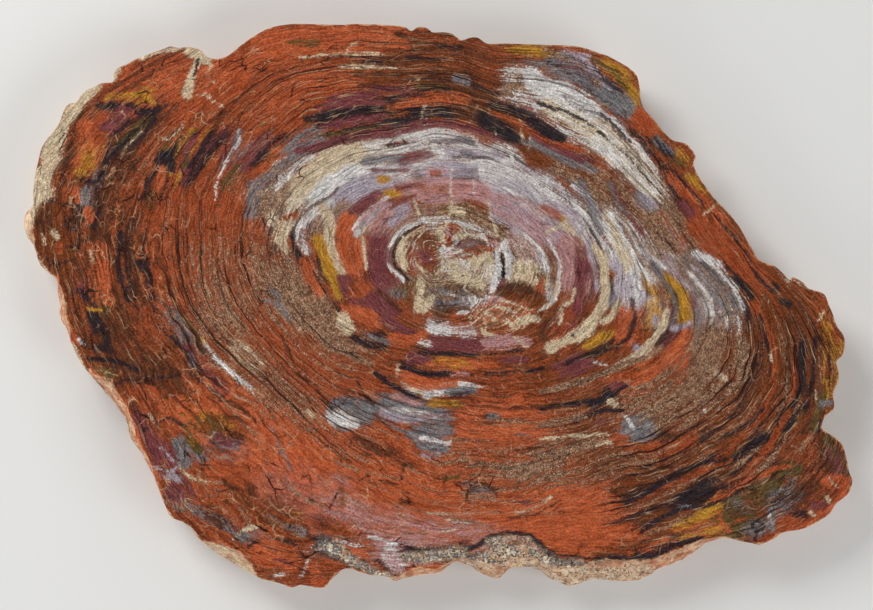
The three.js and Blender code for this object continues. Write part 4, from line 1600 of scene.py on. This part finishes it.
class Canvas:
    """The amounts of each colour and texture at every vertex of the slab."""

    def __init__(self, vertices):
        x, y = vertices[:, 0], vertices[:, 1]
        self.x = x + wander(STROKE_WANDER, x, y, SEEDS["stroke right"])
        self.y = y + wander(STROKE_WANDER, x, y, SEEDS["stroke up"])
        right = self.x + DRAWING_MIDDLE[0] - PITH[0]
        up = self.y - DRAWING_MIDDLE[1] + PITH[1]
        self.bearing = np.degrees(np.arctan2(up, right)) % 360
        self.radius = reference_radius(self.bearing)
        self.share = np.hypot(right, up) / self.radius
        calm = np.clip(self.share / CALM_SHARE, 0, 1)
        self.growth = growth_at(self.bearing, self.share)
        self.growth += calm * wander(RING_WANDER, x, y, SEEDS["ring"])
        heart = smoothstep(HEART_EDGE - HEART_EDGE * self.share / HEART_SHARE)
        self.growth += heart * wander(HEART_SWIRL, x, y, SEEDS["heart"])
        ring = self.growth / RAGGED_RING
        self.ragged = value_noise(ring, self.bearing / RAGGED_ARC, SEEDS["ragged"]) - 0.5
        noise = value_noise(x / SWELL["size"], y / SWELL["size"], SEEDS["swell"])
        self.swell = SWELL["least"] + (SWELL["most"] - SWELL["least"]) * noise
        self.colours = {name: np.full(len(x), BASE_SHARES.get(name, 0.0)) for name in COLOURS}
        self.textures = {name: np.full(len(x), amount) for name, amount in TEXTURES.items()}

    def lay(self, name, strength, where, amount):
        """Covers what lies at some vertices with an amount of one colour or texture."""
        if name in self.textures:
            layer = self.textures[name]
            cleared = layer[where] * (1 - amount)
            layer[where] = np.where(amount > LEAST_AMOUNT, cleared, layer[where])
            layer[where] += amount * strength
            return
        for layer in self.colours.values():
            layer[where] *= 1 - amount * strength
        self.colours[name][where] += amount * strength

    def ring_stroke(self, name, strength, breadth, *places):
        """A stroke that follows the rings between ring places, its ends ragged."""
        bearings, line = ring_line(places)
        start, end = bearings[0], bearings[-1]
        bearing = start + (self.bearing - start + END_MARGIN) % 360 - END_MARGIN
        where = np.flatnonzero(bearing < end + END_MARGIN)
        bearing = bearing[where]
        middle = np.interp(bearing, bearings, line)
        radius = self.radius[where]
        half = np.maximum(breadth / 2 * self.swell[where], LEAST_HALF_BREADTH / radius)
        side = np.abs(self.share[where] - middle) / half
        amount = np.clip((EDGE_START - side) / EDGE_FADE, 0, 1)
        if end - start < WHOLE_RING:
            past_end = np.minimum(bearing - start, end - bearing)
            around = np.radians(1) * radius * self.share[where]
            fade = np.clip((end - start) * around * END_FADE, LEAST_END_FADE, MOST_END_FADE)
            inside_end = past_end * around / fade + RAGGED * self.ragged[where]
            amount *= smoothstep(END_MIDDLE + inside_end)
        self.lay(name, strength, where[amount > 0], amount[amount > 0])

    def free_stroke(self, name, strength, breadth, *places):
        """A stroke along straight runs between free places, or round a single one."""
        line = about_middle(np.array(places, float))
        half = np.maximum(breadth / 2 * self.swell, LEAST_HALF_BREADTH)
        gap = np.full(len(self.x), np.inf)
        if len(line) == 1:
            line = np.repeat(line, 2, axis=0)
        for start, end in zip(line[:-1], line[1:]):
            run = end - start
            length = max(run @ run, SHORTEST_RUN)
            along = ((self.x - start[0]) * run[0] + (self.y - start[1]) * run[1]) / length
            along = np.clip(along, 0, 1)
            away = np.hypot(self.x - start[0] - along * run[0], self.y - start[1] - along * run[1])
            gap = np.minimum(gap, away)
        amount = np.clip((EDGE_START - gap / half) / EDGE_FADE, 0, 1)
        where = np.flatnonzero(amount > 0)
        self.lay(name, strength, where, amount[where])


def ring_line(places):
    """Bearings a degree apart along a stroke, and the share of its middle line at each."""
    bearings, shares = np.array(places, float).T
    growths = growth_at(bearings % 360, shares)
    steps = np.linspace(bearings[0], bearings[-1], max(2, round(bearings[-1] - bearings[0]) + 1))
    grown = np.interp(steps, bearings, growths)
    line = [share_of(bearing % 360, growth) for bearing, growth in zip(steps, grown)]
    return steps, np.array(line)


def strokes(blocks):
    """What is painted, how strongly, how broad, and the places of each stroke in some blocks."""
    for line in "".join(blocks).strip().splitlines():
        if line:
            name, strength, breadth, *places = line.split()
            places = [[float(number) for number in place.split(",")] for place in places]
            yield name, float(strength), float(breadth), *places


def painted(vertices, count):
    """Every attribute that the materials read, one number or colour for each vertex."""
    canvas = Canvas(vertices)
    for stroke in strokes(RING_BLOCKS):
        canvas.ring_stroke(*stroke)
    for stroke in strokes(FREE_BLOCKS):
        canvas.free_stroke(*stroke)
    # the rim's vertices, which carry the painted highlight along the rim of the polished face
    rim = np.zeros(len(vertices))
    rim[:count] = 1
    attributes = {"growth": canvas.growth, "rim": rim, **canvas.textures}
    total = sum(canvas.colours.values())
    reached = 0
    blend = 0
    for name, amount in canvas.colours.items():
        share = amount / total
        reached = reached + share
        attributes["up to " + name] = reached
        blend = blend + share[:, None] * mean_colour(name)
    attributes["blend"] = blend
    return attributes


def mean_colour(name):
    """The middle of one colour's range."""
    return np.array([linear(end) for end in COLOURS[name]]).mean(axis=0)


def linear(colour):
    """A colour given as it shows on a screen, from 0 to 255, as the light that it reflects."""
    return tuple((value / FULL_VALUE) ** SCREEN_POWER for value in colour) + (1,)


def bake_map(vertices, triangles, kinds, count):
    """The places of every triangle's corners on the image that the colours are baked to."""
    low = vertices[:, :2].min(axis=0)
    breadth, height = vertices[:, :2].max(axis=0) - low
    corners = vertices[triangles]
    flat = (corners[..., :2] - low) / breadth
    top = flat * FACE_SHARE + (1 - FACE_SHARE, 1 - FACE_SHARE * height / breadth)
    under = flat * UNDERSIDE_SHARE
    column = triangles % count
    wraps = np.ptp(column, axis=1, keepdims=True) > count / 2
    column = np.where(wraps & (column == 0), count, column)
    strip = column.min(axis=1, keepdims=True) * WALL_STRIPS // count
    along = column * WALL_STRIPS / count - strip
    depth = (THICKNESS - corners[..., 2]) / THICKNESS
    beside = UNDERSIDE_SHARE + MAP_GAP
    wall = np.stack([
        beside + along * (1 - beside - MAP_GAP),
        MAP_GAP + (strip + depth * WALL_STRIP_FILL) * STRIP_HEIGHT,
    ], axis=-1)
    kind = kinds[:, None, None]
    return np.where(kind == FACE_KIND, top, np.where(kind == WALL_KIND, wall, under))


def add_attribute(mesh, name, values):
    """Stores one number, or one colour, for each vertex."""
    if values.ndim == 1:
        layer = mesh.attributes.new(name, "FLOAT", "POINT")
        layer.data.foreach_set("value", values.astype(np.float32))
    else:
        layer = mesh.attributes.new(name, "FLOAT_COLOR", "POINT")
        layer.data.foreach_set("color", values.astype(np.float32).ravel())


def mesh_of_slab(vertices, triangles, kinds, count):
    mesh = bpy.data.meshes.new("slab")
    mesh.from_pydata(vertices * MILLIMETRE, [], triangles)
    mesh.polygons.foreach_set("material_index", kinds)
    mesh.polygons.foreach_set("use_smooth", np.ones(len(triangles), bool))
    mesh.set_sharp_from_angle(angle=math.radians(SHARP_ANGLE))
    for name, values in painted(vertices, count).items():
        add_attribute(mesh, name, values)
    baked = mesh.uv_layers.new(name="OFBake")
    places = bake_map(vertices, triangles, kinds, count)
    baked.data.foreach_set("uv", places.astype(np.float32).ravel())
    mesh.update()
    return mesh


# Materials
MIX_SOCKETS = (0, 6, 7)  # a colour mix's share, first colour and second colour
MIX_RESULT = 2


class Shader:
    """Builds one material. Each method returns the socket that holds its result."""

    def __init__(self, name):
        self.material = bpy.data.materials.new(name)
        self.material.use_nodes = True
        self.tree = self.material.node_tree
        self.surface = self.tree.nodes["Principled BSDF"]
        self.place = self.add("ShaderNodeTexCoord").outputs["Object"]

    def add(self, kind, **settings):
        """A new node with some settings."""
        node = self.tree.nodes.new(kind)
        for name, value in settings.items():
            setattr(node, name, value)
        return node

    def plug(self, socket, value):
        """Links a socket to another one, or sets its value."""
        if isinstance(value, bpy.types.NodeSocket):
            self.tree.links.new(value, socket)
        else:
            socket.default_value = value

    def apply(self, kind, operation, values, **settings):
        """One node that works on values in order."""
        node = self.add(kind, operation=operation, **settings)
        for socket, value in zip(node.inputs, values):
            self.plug(socket, value)
        return node.outputs[0]

    def math(self, operation, *values, clamp=False):
        return self.apply("ShaderNodeMath", operation, values, use_clamp=clamp)

    def vector(self, operation, *values):
        return self.apply("ShaderNodeVectorMath", operation, values)

    def ramp(self, value, low, high):
        """0 below low and 1 above high, or the other way round where low is above high."""
        node = self.add("ShaderNodeMapRange", interpolation_type="SMOOTHSTEP")
        for name, number in (("Value", value), ("From Min", low), ("From Max", high)):
            self.plug(node.inputs[name], number)
        return node.outputs[0]

    def mix(self, share, first, second):
        """A colour between two, nearer to the second the larger the share is."""
        node = self.add("ShaderNodeMix", data_type="RGBA")
        for socket, value in zip(MIX_SOCKETS, (share, first, second)):
            self.plug(node.inputs[socket], value)
        return node.outputs[MIX_RESULT]

    def tinted(self, colour, value, bounds, tint):
        """A colour with a tint over it as a value goes from the first bound to the second."""
        return self.mix(self.ramp(value, *bounds), colour, linear(tint))

    def attribute(self, name, output="Fac"):
        return self.add("ShaderNodeAttribute", attribute_name=name).outputs[output]

    def place_in(self, size):
        """The place on the slab, counted in steps of some size in millimetres."""
        return self.vector("MULTIPLY", self.place, (1 / (size * MILLIMETRE),) * 3)

    def grain(self, along, across):
        """A place for noise whose lumps are along mm long on the rings and across mm broad."""
        scale = 1 / (along * MILLIMETRE)
        flat = self.vector("MULTIPLY", self.place, (scale, scale, 0))
        rise = self.add("ShaderNodeCombineXYZ")
        self.plug(rise.inputs["Z"], self.math("DIVIDE", self.attribute("growth"), across))
        return self.vector("ADD", flat, rise.outputs[0])

    def noise(self, vector, detail=2.0, roughness=0.5, scale=1.0, output=0):
        node = self.add("ShaderNodeTexNoise")
        self.plug(node.inputs["Vector"], vector)
        for name, number in (("Scale", scale), ("Detail", detail), ("Roughness", roughness)):
            self.plug(node.inputs[name], number)
        return node.outputs[output]

    def spots(self, size, detail=2.0):
        """Noise with round lumps of some size in millimetres."""
        return self.noise(self.place, detail=detail, scale=1 / (size * MILLIMETRE))

    def bent(self, vector, size, reach):
        """A place that is shifted by noise of some size in millimetres."""
        shift = self.noise(self.place, scale=1 / (size * MILLIMETRE), output="Color")
        return self.vector("ADD", vector, self.vector("MULTIPLY", shift, (reach,) * 3))

    def cells(self, vector, output, feature="F1"):
        """The cells of a Voronoi texture."""
        node = self.add("ShaderNodeTexVoronoi", feature=feature)
        self.plug(node.inputs["Vector"], vector)
        self.plug(node.inputs["Scale"], 1.0)
        return node.outputs[output]


# The mixing of the painted colours. A range or bounds are two values of some noise.
STREAKS = ((0.32, 130, 4.8), (0.24, 34, 2.4), (0.18, 8, 1.5))  # weight, length and breadth
STREAK_DETAIL = 2.5
STREAK_SPOTS = (0.26, 2.1)  # weight and size of the round mottling among them
STREAK_RANGE = (0.39, 0.61)
CLOUD = {"length": 22, "breadth": 5.5, "detail": 3, "range": (0.32, 0.68), "share": 0.75}
BORDER, SOFT_BORDER = 0.10, 0.45  # how soft the border between two colours is
BLENDED, SOFT_BLENDED = 0.32, 0.30  # how much of the mean colour shows, and how much more if soft
TONE = {"weight": 0.55, "length": 14, "breadth": 2.4, "detail": 4, "roughness": 0.65}
TONE_SPOTS = (0.45, 2.0)  # weight and size of the spots in a colour's tone
TONE_RANGE = (0.36, 0.64)
FRINGE = {"colours": ("tan", "gold"), "range": (0.5, 0.1), "strength": 0.6, "tint": (52, 32, 26)}
BROAD_MOTTLE = {"size": 5, "bounds": (0.4, 0.6)}
SALT_AND_PEPPER = {
    "size": 1.15, "detail": 1.5,
    "tints": (((0.56, 0.66), (196, 170, 140)), ((0.44, 0.34), (50, 34, 28))),
}
POROUS = {
    "size": 1.5, "detail": 2,
    "tints": (((0.55, 0.68), (226, 214, 188)), ((0.40, 0.30), (92, 70, 52))),
}


def level_of(shader):
    """Noise that is spread from 0 to 1, in streaks along the rings or in soft clouds."""
    weight, size = STREAK_SPOTS
    total = shader.math("MULTIPLY", shader.spots(size), weight)
    for weight, length, breadth in STREAKS:
        streak = shader.noise(shader.grain(length, breadth), detail=STREAK_DETAIL)
        total = shader.math("MULTIPLY_ADD", streak, weight, total)
    streaky = shader.ramp(total, *STREAK_RANGE)
    cloud = shader.noise(shader.grain(CLOUD["length"], CLOUD["breadth"]), detail=CLOUD["detail"])
    cloudy = shader.ramp(cloud, *CLOUD["range"])
    share = shader.math("MULTIPLY", shader.attribute("soft"), CLOUD["share"])
    difference = shader.math("SUBTRACT", cloudy, streaky)
    return shader.math("MULTIPLY_ADD", difference, share, streaky)


def tone_of(shader):
    """Noise by which each colour runs from its dark end to its pale end."""
    weight, size = TONE_SPOTS
    mottle = shader.math("MULTIPLY", shader.spots(size), weight)
    fibre = shader.grain(TONE["length"], TONE["breadth"])
    fibre = shader.noise(fibre, detail=TONE["detail"], roughness=TONE["roughness"])
    return shader.ramp(shader.math("MULTIPLY_ADD", fibre, TONE["weight"], mottle), *TONE_RANGE)


def gritty(shader, colour, grit):
    """A colour with fine pale grains and dark specks in it."""
    speck = shader.spots(grit["size"], detail=grit["detail"])
    for bounds, tint in grit["tints"]:
        colour = shader.tinted(colour, speck, bounds, tint)
    return colour


def own_colour(shader, name, tone):
    """One of the colours, as it looks where nothing else is mixed in."""
    dark, pale = COLOURS[name]
    if name == "tan":
        mottle = shader.spots(BROAD_MOTTLE["size"])
        ground = shader.tinted(linear(dark), mottle, BROAD_MOTTLE["bounds"], pale)
        return gritty(shader, ground, SALT_AND_PEPPER)
    colour = shader.mix(tone, linear(dark), linear(pale))
    return gritty(shader, colour, POROUS) if name == "cream" else colour


def agate_colour(shader):
    """The painted colours: where the level passes one colour's share, the next colour shows."""
    level = level_of(shader)
    tone = tone_of(shader)
    border = shader.math("MULTIPLY_ADD", shader.attribute("soft"), SOFT_BORDER, BORDER)
    stretch = shader.math("ADD", border, 1)
    names = list(COLOURS)
    colour = own_colour(shader, names[0], tone)
    for before, name in zip(names, names[1:]):
        below = shader.attribute("up to " + before)
        spread = shader.math("SUBTRACT", shader.math("MULTIPLY", below, stretch), border)
        over = shader.math("SUBTRACT", level, spread)
        shown = shader.math("DIVIDE", over, border, clamp=True)
        if name in FRINGE["colours"]:
            edge = shader.math("ABSOLUTE", shader.math("SUBTRACT", shown, 0.5))
            edge = shader.ramp(edge, *FRINGE["range"])
            fringe = shader.math("MULTIPLY", edge, FRINGE["strength"])
            colour = shader.mix(fringe, colour, linear(FRINGE["tint"]))
        colour = shader.mix(shown, colour, own_colour(shader, name, tone))
    blended = shader.math("MULTIPLY_ADD", shader.attribute("soft"), SOFT_BLENDED, BLENDED)
    return shader.mix(blended, colour, shader.attribute("blend", "Color"))


FIBRE_GRIT = 1.3
FIBRE = (10, 1.1)  # length and breadth
FIBRE_CONTRAST = 1.5
FIBRE_OFFSET = -0.57  # so that the colour stays nearly as light as it was

# Growth lines: length, breadth, bounds, strength and tint
GROWTH_LINES = (
    (150, 2.0, (0.43, 0.35), 1.0, (50, 32, 28)),
    (36, 1.5, (0.62, 0.70), 0.7, (178, 146, 112)),
)

# Healed cracks: size of the stones between them, how wide a crack is, how strongly it shows, and
# its colour
CRACK_NETS = (
    (8.0, 0.32, 0.26, (196, 146, 108)),
    (19.0, 0.36, 0.30, (208, 168, 130)),
    (13.0, 0.6, 0.55, (50, 30, 25)),
)
CRACKED_STONE = {"length": 2.4, "breadth": 0.7, "bend": 0.8}  # as shares of a stone's size
CRACK_REACH = 0.4
CRACK_CORE = 0.2  # share of a crack's width that is quite filled
CRACK_GAIN = 2  # how much stronger a net is in the places where it shows
CRACK_PLACES = {"size": 26, "detail": 3, "shift": (7.3, 3.1, 0), "bounds": (0.50, 0.64)}

# Conglomerate: the pebbles' size in millimetres, how far they are bent, the tints of some of them,
# each by a number that is drawn for each pebble, and the paste between them
PEBBLE = 4.6
PEBBLE_BEND = 1.1
PALE_PEBBLE = (214, 202, 176)
PEBBLE_TINTS = (
    ("X", (0.2, 0.6), (112, 106, 102)), ("Y", (0.72, 0.80), (164, 122, 88)),
    ("Z", (0.88, 0.94), (66, 58, 54)),
)
PASTE = {"size": 2.0, "bounds": (0.4, 0.6), "dark": (70, 58, 50), "pale": (204, 182, 156)}
PASTE_EDGE = (0.20, 0.06)

# Painted highlight: a thin pale line along the rim of the polished face, broken here and there
RIM_HIGHLIGHT = {
    "edge": (0.35, 0.75), "size": 9, "detail": 3, "places": (0.40, 0.60), "strength": 0.75,
    "tint": (206, 158, 118),
}


def with_lines(shader, colour):
    """Fine dark and pale lines along the rings, broken here and there."""
    for length, breadth, bounds, strength, tint in GROWTH_LINES:
        line = shader.ramp(shader.noise(shader.grain(length, breadth)), *bounds)
        here = shader.math("MULTIPLY", shader.attribute("lines"), strength)
        colour = shader.mix(shader.math("MULTIPLY", line, here), colour, linear(tint))
    return colour


def with_cracks(shader, colour):
    """Thin healed cracks between angular blocks, each net showing in some places only."""
    for seed, (size, width, strength, tint) in enumerate(CRACK_NETS):
        stone = shader.grain(size * CRACKED_STONE["length"], size * CRACKED_STONE["breadth"])
        stone = shader.bent(stone, size * CRACKED_STONE["bend"], CRACK_REACH)
        edge = shader.cells(stone, "Distance", feature="DISTANCE_TO_EDGE")
        thin = shader.ramp(edge, width / size, CRACK_CORE * width / size)
        shift = tuple(seed * step for step in CRACK_PLACES["shift"])
        places = shader.vector("ADD", shader.place_in(CRACK_PLACES["size"]), shift)
        places = shader.noise(places, detail=CRACK_PLACES["detail"])
        amount = shader.math("MULTIPLY", thin, shader.ramp(places, *CRACK_PLACES["bounds"]))
        amount = shader.math("MULTIPLY", amount, shader.attribute("cracks"))
        amount = shader.math("MULTIPLY", amount, CRACK_GAIN * strength, clamp=True)
        colour = shader.mix(amount, colour, linear(tint))
    return colour


def with_pebbles(shader, colour):
    """Small stones of cream, tan and grey in a darker paste, where the conglomerate is painted."""
    bent = shader.bent(shader.place_in(PEBBLE), PEBBLE, PEBBLE_BEND)
    drawn = shader.add("ShaderNodeSeparateXYZ")
    shader.plug(drawn.inputs[0], shader.cells(bent, "Color"))
    stone = linear(PALE_PEBBLE)
    for number, bounds, tint in PEBBLE_TINTS:
        stone = shader.tinted(stone, drawn.outputs[number], bounds, tint)
    mottle = shader.spots(PASTE["size"])
    paste = shader.tinted(linear(PASTE["dark"]), mottle, PASTE["bounds"], PASTE["pale"])
    edge = shader.cells(bent, "Distance", feature="DISTANCE_TO_EDGE")
    stone = shader.mix(shader.ramp(edge, *PASTE_EDGE), stone, paste)
    return shader.mix(shader.attribute("pebbles"), colour, stone)


def with_painted_rim_highlight(shader, colour):
    """A painted highlight: a thin pale line, broken here and there, along the rim of the polished
    face.
    """
    rim = shader.ramp(shader.attribute("rim"), *RIM_HIGHLIGHT["edge"])
    places = shader.spots(RIM_HIGHLIGHT["size"], detail=RIM_HIGHLIGHT["detail"])
    rim = shader.math("MULTIPLY", rim, shader.ramp(places, *RIM_HIGHLIGHT["places"]))
    rim = shader.math("MULTIPLY", rim, RIM_HIGHLIGHT["strength"])
    return shader.mix(rim, colour, linear(RIM_HIGHLIGHT["tint"]))


def with_fibres(shader, colour):
    """The colour lightened and darkened by grit and by short fibres along the rings."""
    light = shader.math("MULTIPLY_ADD", shader.spots(FIBRE_GRIT), FIBRE_CONTRAST, FIBRE_OFFSET)
    light = shader.math("MULTIPLY_ADD", shader.noise(shader.grain(*FIBRE)), FIBRE_CONTRAST, light)
    node = shader.add("ShaderNodeVectorMath", operation="SCALE")
    shader.plug(node.inputs[0], colour)
    shader.plug(node.inputs["Scale"], light)
    return node.outputs[0]


def slab_colour(shader):
    colour = agate_colour(shader)
    # one of these layers is a painted highlight along the rim of the polished face
    for layer in (with_lines, with_cracks, with_pebbles, with_painted_rim_highlight, with_fibres):
        colour = layer(shader, colour)
    return colour


def rough_surface(shader, height, depth, strength):
    """Bumps of some depth in millimetres where the height, from 0 to 1, is great."""
    bump = shader.add("ShaderNodeBump")
    for name, value in (("Height", height), ("Distance", depth * MILLIMETRE), ("Strength", strength)):
        shader.plug(bump.inputs[name], value)
    shader.plug(shader.surface.inputs["Normal"], bump.outputs[0])


POLISH = {
    "grit": 1.5, "grit range": (0.36, 0.56), "roughness": 0.36, "pebbles": 0.3, "grit gloss": -0.14,
    "specular": 0.3, "bump": (0.12, 0.35),
}
CRUST = {
    "size": 7, "detail": 4, "bounds": (0.36, 0.64), "dark": (184, 128, 88), "pale": (240, 206, 166),
    "pits": (2.0, (0.42, 0.32), (58, 40, 30)), "places": (12, 4, (0.36, 0.62)), "more": 0.3,
    "share": 0.34, "roughness": 0.86, "bump": (2.4, 0.8),
}
CRUST_BUMPS = ((4.5, 5, 0.7), (1.4, 2, 0.3))  # size, detail and weight
SAW = {
    "length": 260, "breadth": 1.6, "detail": 3, "bounds": (0.35, 0.65), "dark": (140, 112, 94),
    "pale": (178, 156, 138), "dust": 0.42, "roughness": 0.72, "bump": (0.3, 0.5),
}


def polished_agate():
    shader = Shader("polished agate")
    grit = shader.ramp(shader.spots(POLISH["grit"]), *POLISH["grit range"])
    pebbles = shader.attribute("pebbles")
    dull = shader.math("MULTIPLY_ADD", pebbles, POLISH["pebbles"], POLISH["roughness"])
    dull = shader.math("MULTIPLY_ADD", grit, POLISH["grit gloss"], dull)
    shader.plug(shader.surface.inputs["Base Color"], slab_colour(shader))
    shader.plug(shader.surface.inputs["Roughness"], dull)
    shader.plug(shader.surface.inputs["Specular IOR Level"], POLISH["specular"])
    rough_surface(shader, grit, *POLISH["bump"])
    return shader.material


def broken_side():
    shader = Shader("broken side")
    mottle = shader.spots(CRUST["size"], detail=CRUST["detail"])
    crust = shader.tinted(linear(CRUST["dark"]), mottle, CRUST["bounds"], CRUST["pale"])
    pit, bounds, tint = CRUST["pits"]
    crust = shader.tinted(crust, shader.spots(pit), bounds, tint)
    size, detail, bounds = CRUST["places"]
    share = shader.ramp(shader.spots(size, detail=detail), *bounds)
    share = shader.math("MULTIPLY_ADD", share, CRUST["more"], CRUST["share"])
    shader.plug(shader.surface.inputs["Base Color"], shader.mix(share, slab_colour(shader), crust))
    shader.plug(shader.surface.inputs["Roughness"], CRUST["roughness"])
    height = 0
    for size, detail, weight in CRUST_BUMPS:
        height = shader.math("MULTIPLY_ADD", shader.spots(size, detail=detail), weight, height)
    rough_surface(shader, height, *CRUST["bump"])
    return shader.material


def sawn_underside():
    shader = Shader("sawn underside")
    scale = (1 / (SAW["length"] * MILLIMETRE), 1 / (SAW["breadth"] * MILLIMETRE), 1)
    marks = shader.noise(shader.vector("MULTIPLY", shader.place, scale), detail=SAW["detail"])
    dust = shader.tinted(linear(SAW["dark"]), marks, SAW["bounds"], SAW["pale"])
    colour = shader.mix(SAW["dust"], slab_colour(shader), dust)
    shader.plug(shader.surface.inputs["Base Color"], colour)
    shader.plug(shader.surface.inputs["Roughness"], SAW["roughness"])
    rough_surface(shader, marks, *SAW["bump"])
    return shader.material


def add_slab():
    slab = bpy.data.objects.new("petrified_wood_slab", mesh_of_slab(*slab_shape()))
    bpy.context.scene.collection.objects.link(slab)
    for material in (polished_agate(), broken_side(), sawn_underside()):
        slab.data.materials.append(material)
    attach(slab, "root")
    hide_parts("slab")


add_slab()


# Floor, light and camera, in metres
FLOOR = {"reach": 6.0, "colour": (0.72, 0.71, 0.69, 1), "roughness": 0.9}
LIGHTS = (
    ("key", (-1.7, 2.0, 1.9), 1.5, 74),
    ("fill", (2.3, -1.3, 1.8), 1.8, 42),
    ("low fill", (-1.9, -1.7, 0.9), 1.4, 22),
)
AIR_COLOUR = (0.93, 0.96, 1, 1)
AIR_HEIGHTS = (0.35, 0.95)  # sines of the elevations between which the air darkens
AIR_STRENGTHS = (0.75, 0.05)
CAMERA = {"lens": 100, "sensor": 36, "place": (0, 0.00125, 2.475)}


def pale_floor():
    reach = FLOOR["reach"]
    mesh = bpy.data.meshes.new("floor")
    corners = [(-reach, -reach, 0), (reach, -reach, 0), (reach, reach, 0), (-reach, reach, 0)]
    mesh.from_pydata(corners, [], [(0, 1, 2, 3)])
    floor = bpy.data.objects.new("floor", mesh)
    bpy.context.scene.collection.objects.link(floor)
    material = bpy.data.materials.new("pale floor")
    material.use_nodes = True
    surface = material.node_tree.nodes["Principled BSDF"]
    surface.inputs["Base Color"].default_value = FLOOR["colour"]
    surface.inputs["Roughness"].default_value = FLOOR["roughness"]
    mesh.materials.append(material)


def soft_light(name, place, size, power):
    data = bpy.data.lights.new(name, "AREA")
    data.shape = "SQUARE"
    data.size = size
    data.energy = power
    light = bpy.data.objects.new(name, data)
    light.location = place
    light.rotation_euler = Vector(place).to_track_quat("Z", "Y").to_euler()
    bpy.context.scene.collection.objects.link(light)


def camera_above():
    data = bpy.data.cameras.new("camera")
    data.lens = CAMERA["lens"]
    data.sensor_width = CAMERA["sensor"]
    camera = bpy.data.objects.new("camera", data)
    camera.location = CAMERA["place"]
    bpy.context.scene.collection.objects.link(camera)
    bpy.context.scene.camera = camera


def studio_air():
    """Soft light from all sides that leaves the air above dark, so that the polish stays clear."""
    world = bpy.data.worlds.new("studio air")
    world.use_nodes = True
    tree = world.node_tree
    way = tree.nodes.new("ShaderNodeTexCoord")
    parts = tree.nodes.new("ShaderNodeSeparateXYZ")
    fall = tree.nodes.new("ShaderNodeMapRange")
    fall.interpolation_type = "SMOOTHSTEP"
    for end, height, strength in zip(("Min", "Max"), AIR_HEIGHTS, AIR_STRENGTHS):
        fall.inputs["From " + end].default_value = height
        fall.inputs["To " + end].default_value = strength
    background = tree.nodes["Background"]
    background.inputs["Color"].default_value = AIR_COLOUR
    tree.links.new(way.outputs["Generated"], parts.inputs[0])
    tree.links.new(parts.outputs["Z"], fall.inputs["Value"])
    tree.links.new(fall.outputs[0], background.inputs["Strength"])
    bpy.context.scene.world = world


pale_floor()
for light in LIGHTS:
    soft_light(*light)
studio_air()
camera_above()
bpy.context.scene.view_settings.view_transform = "Standard"
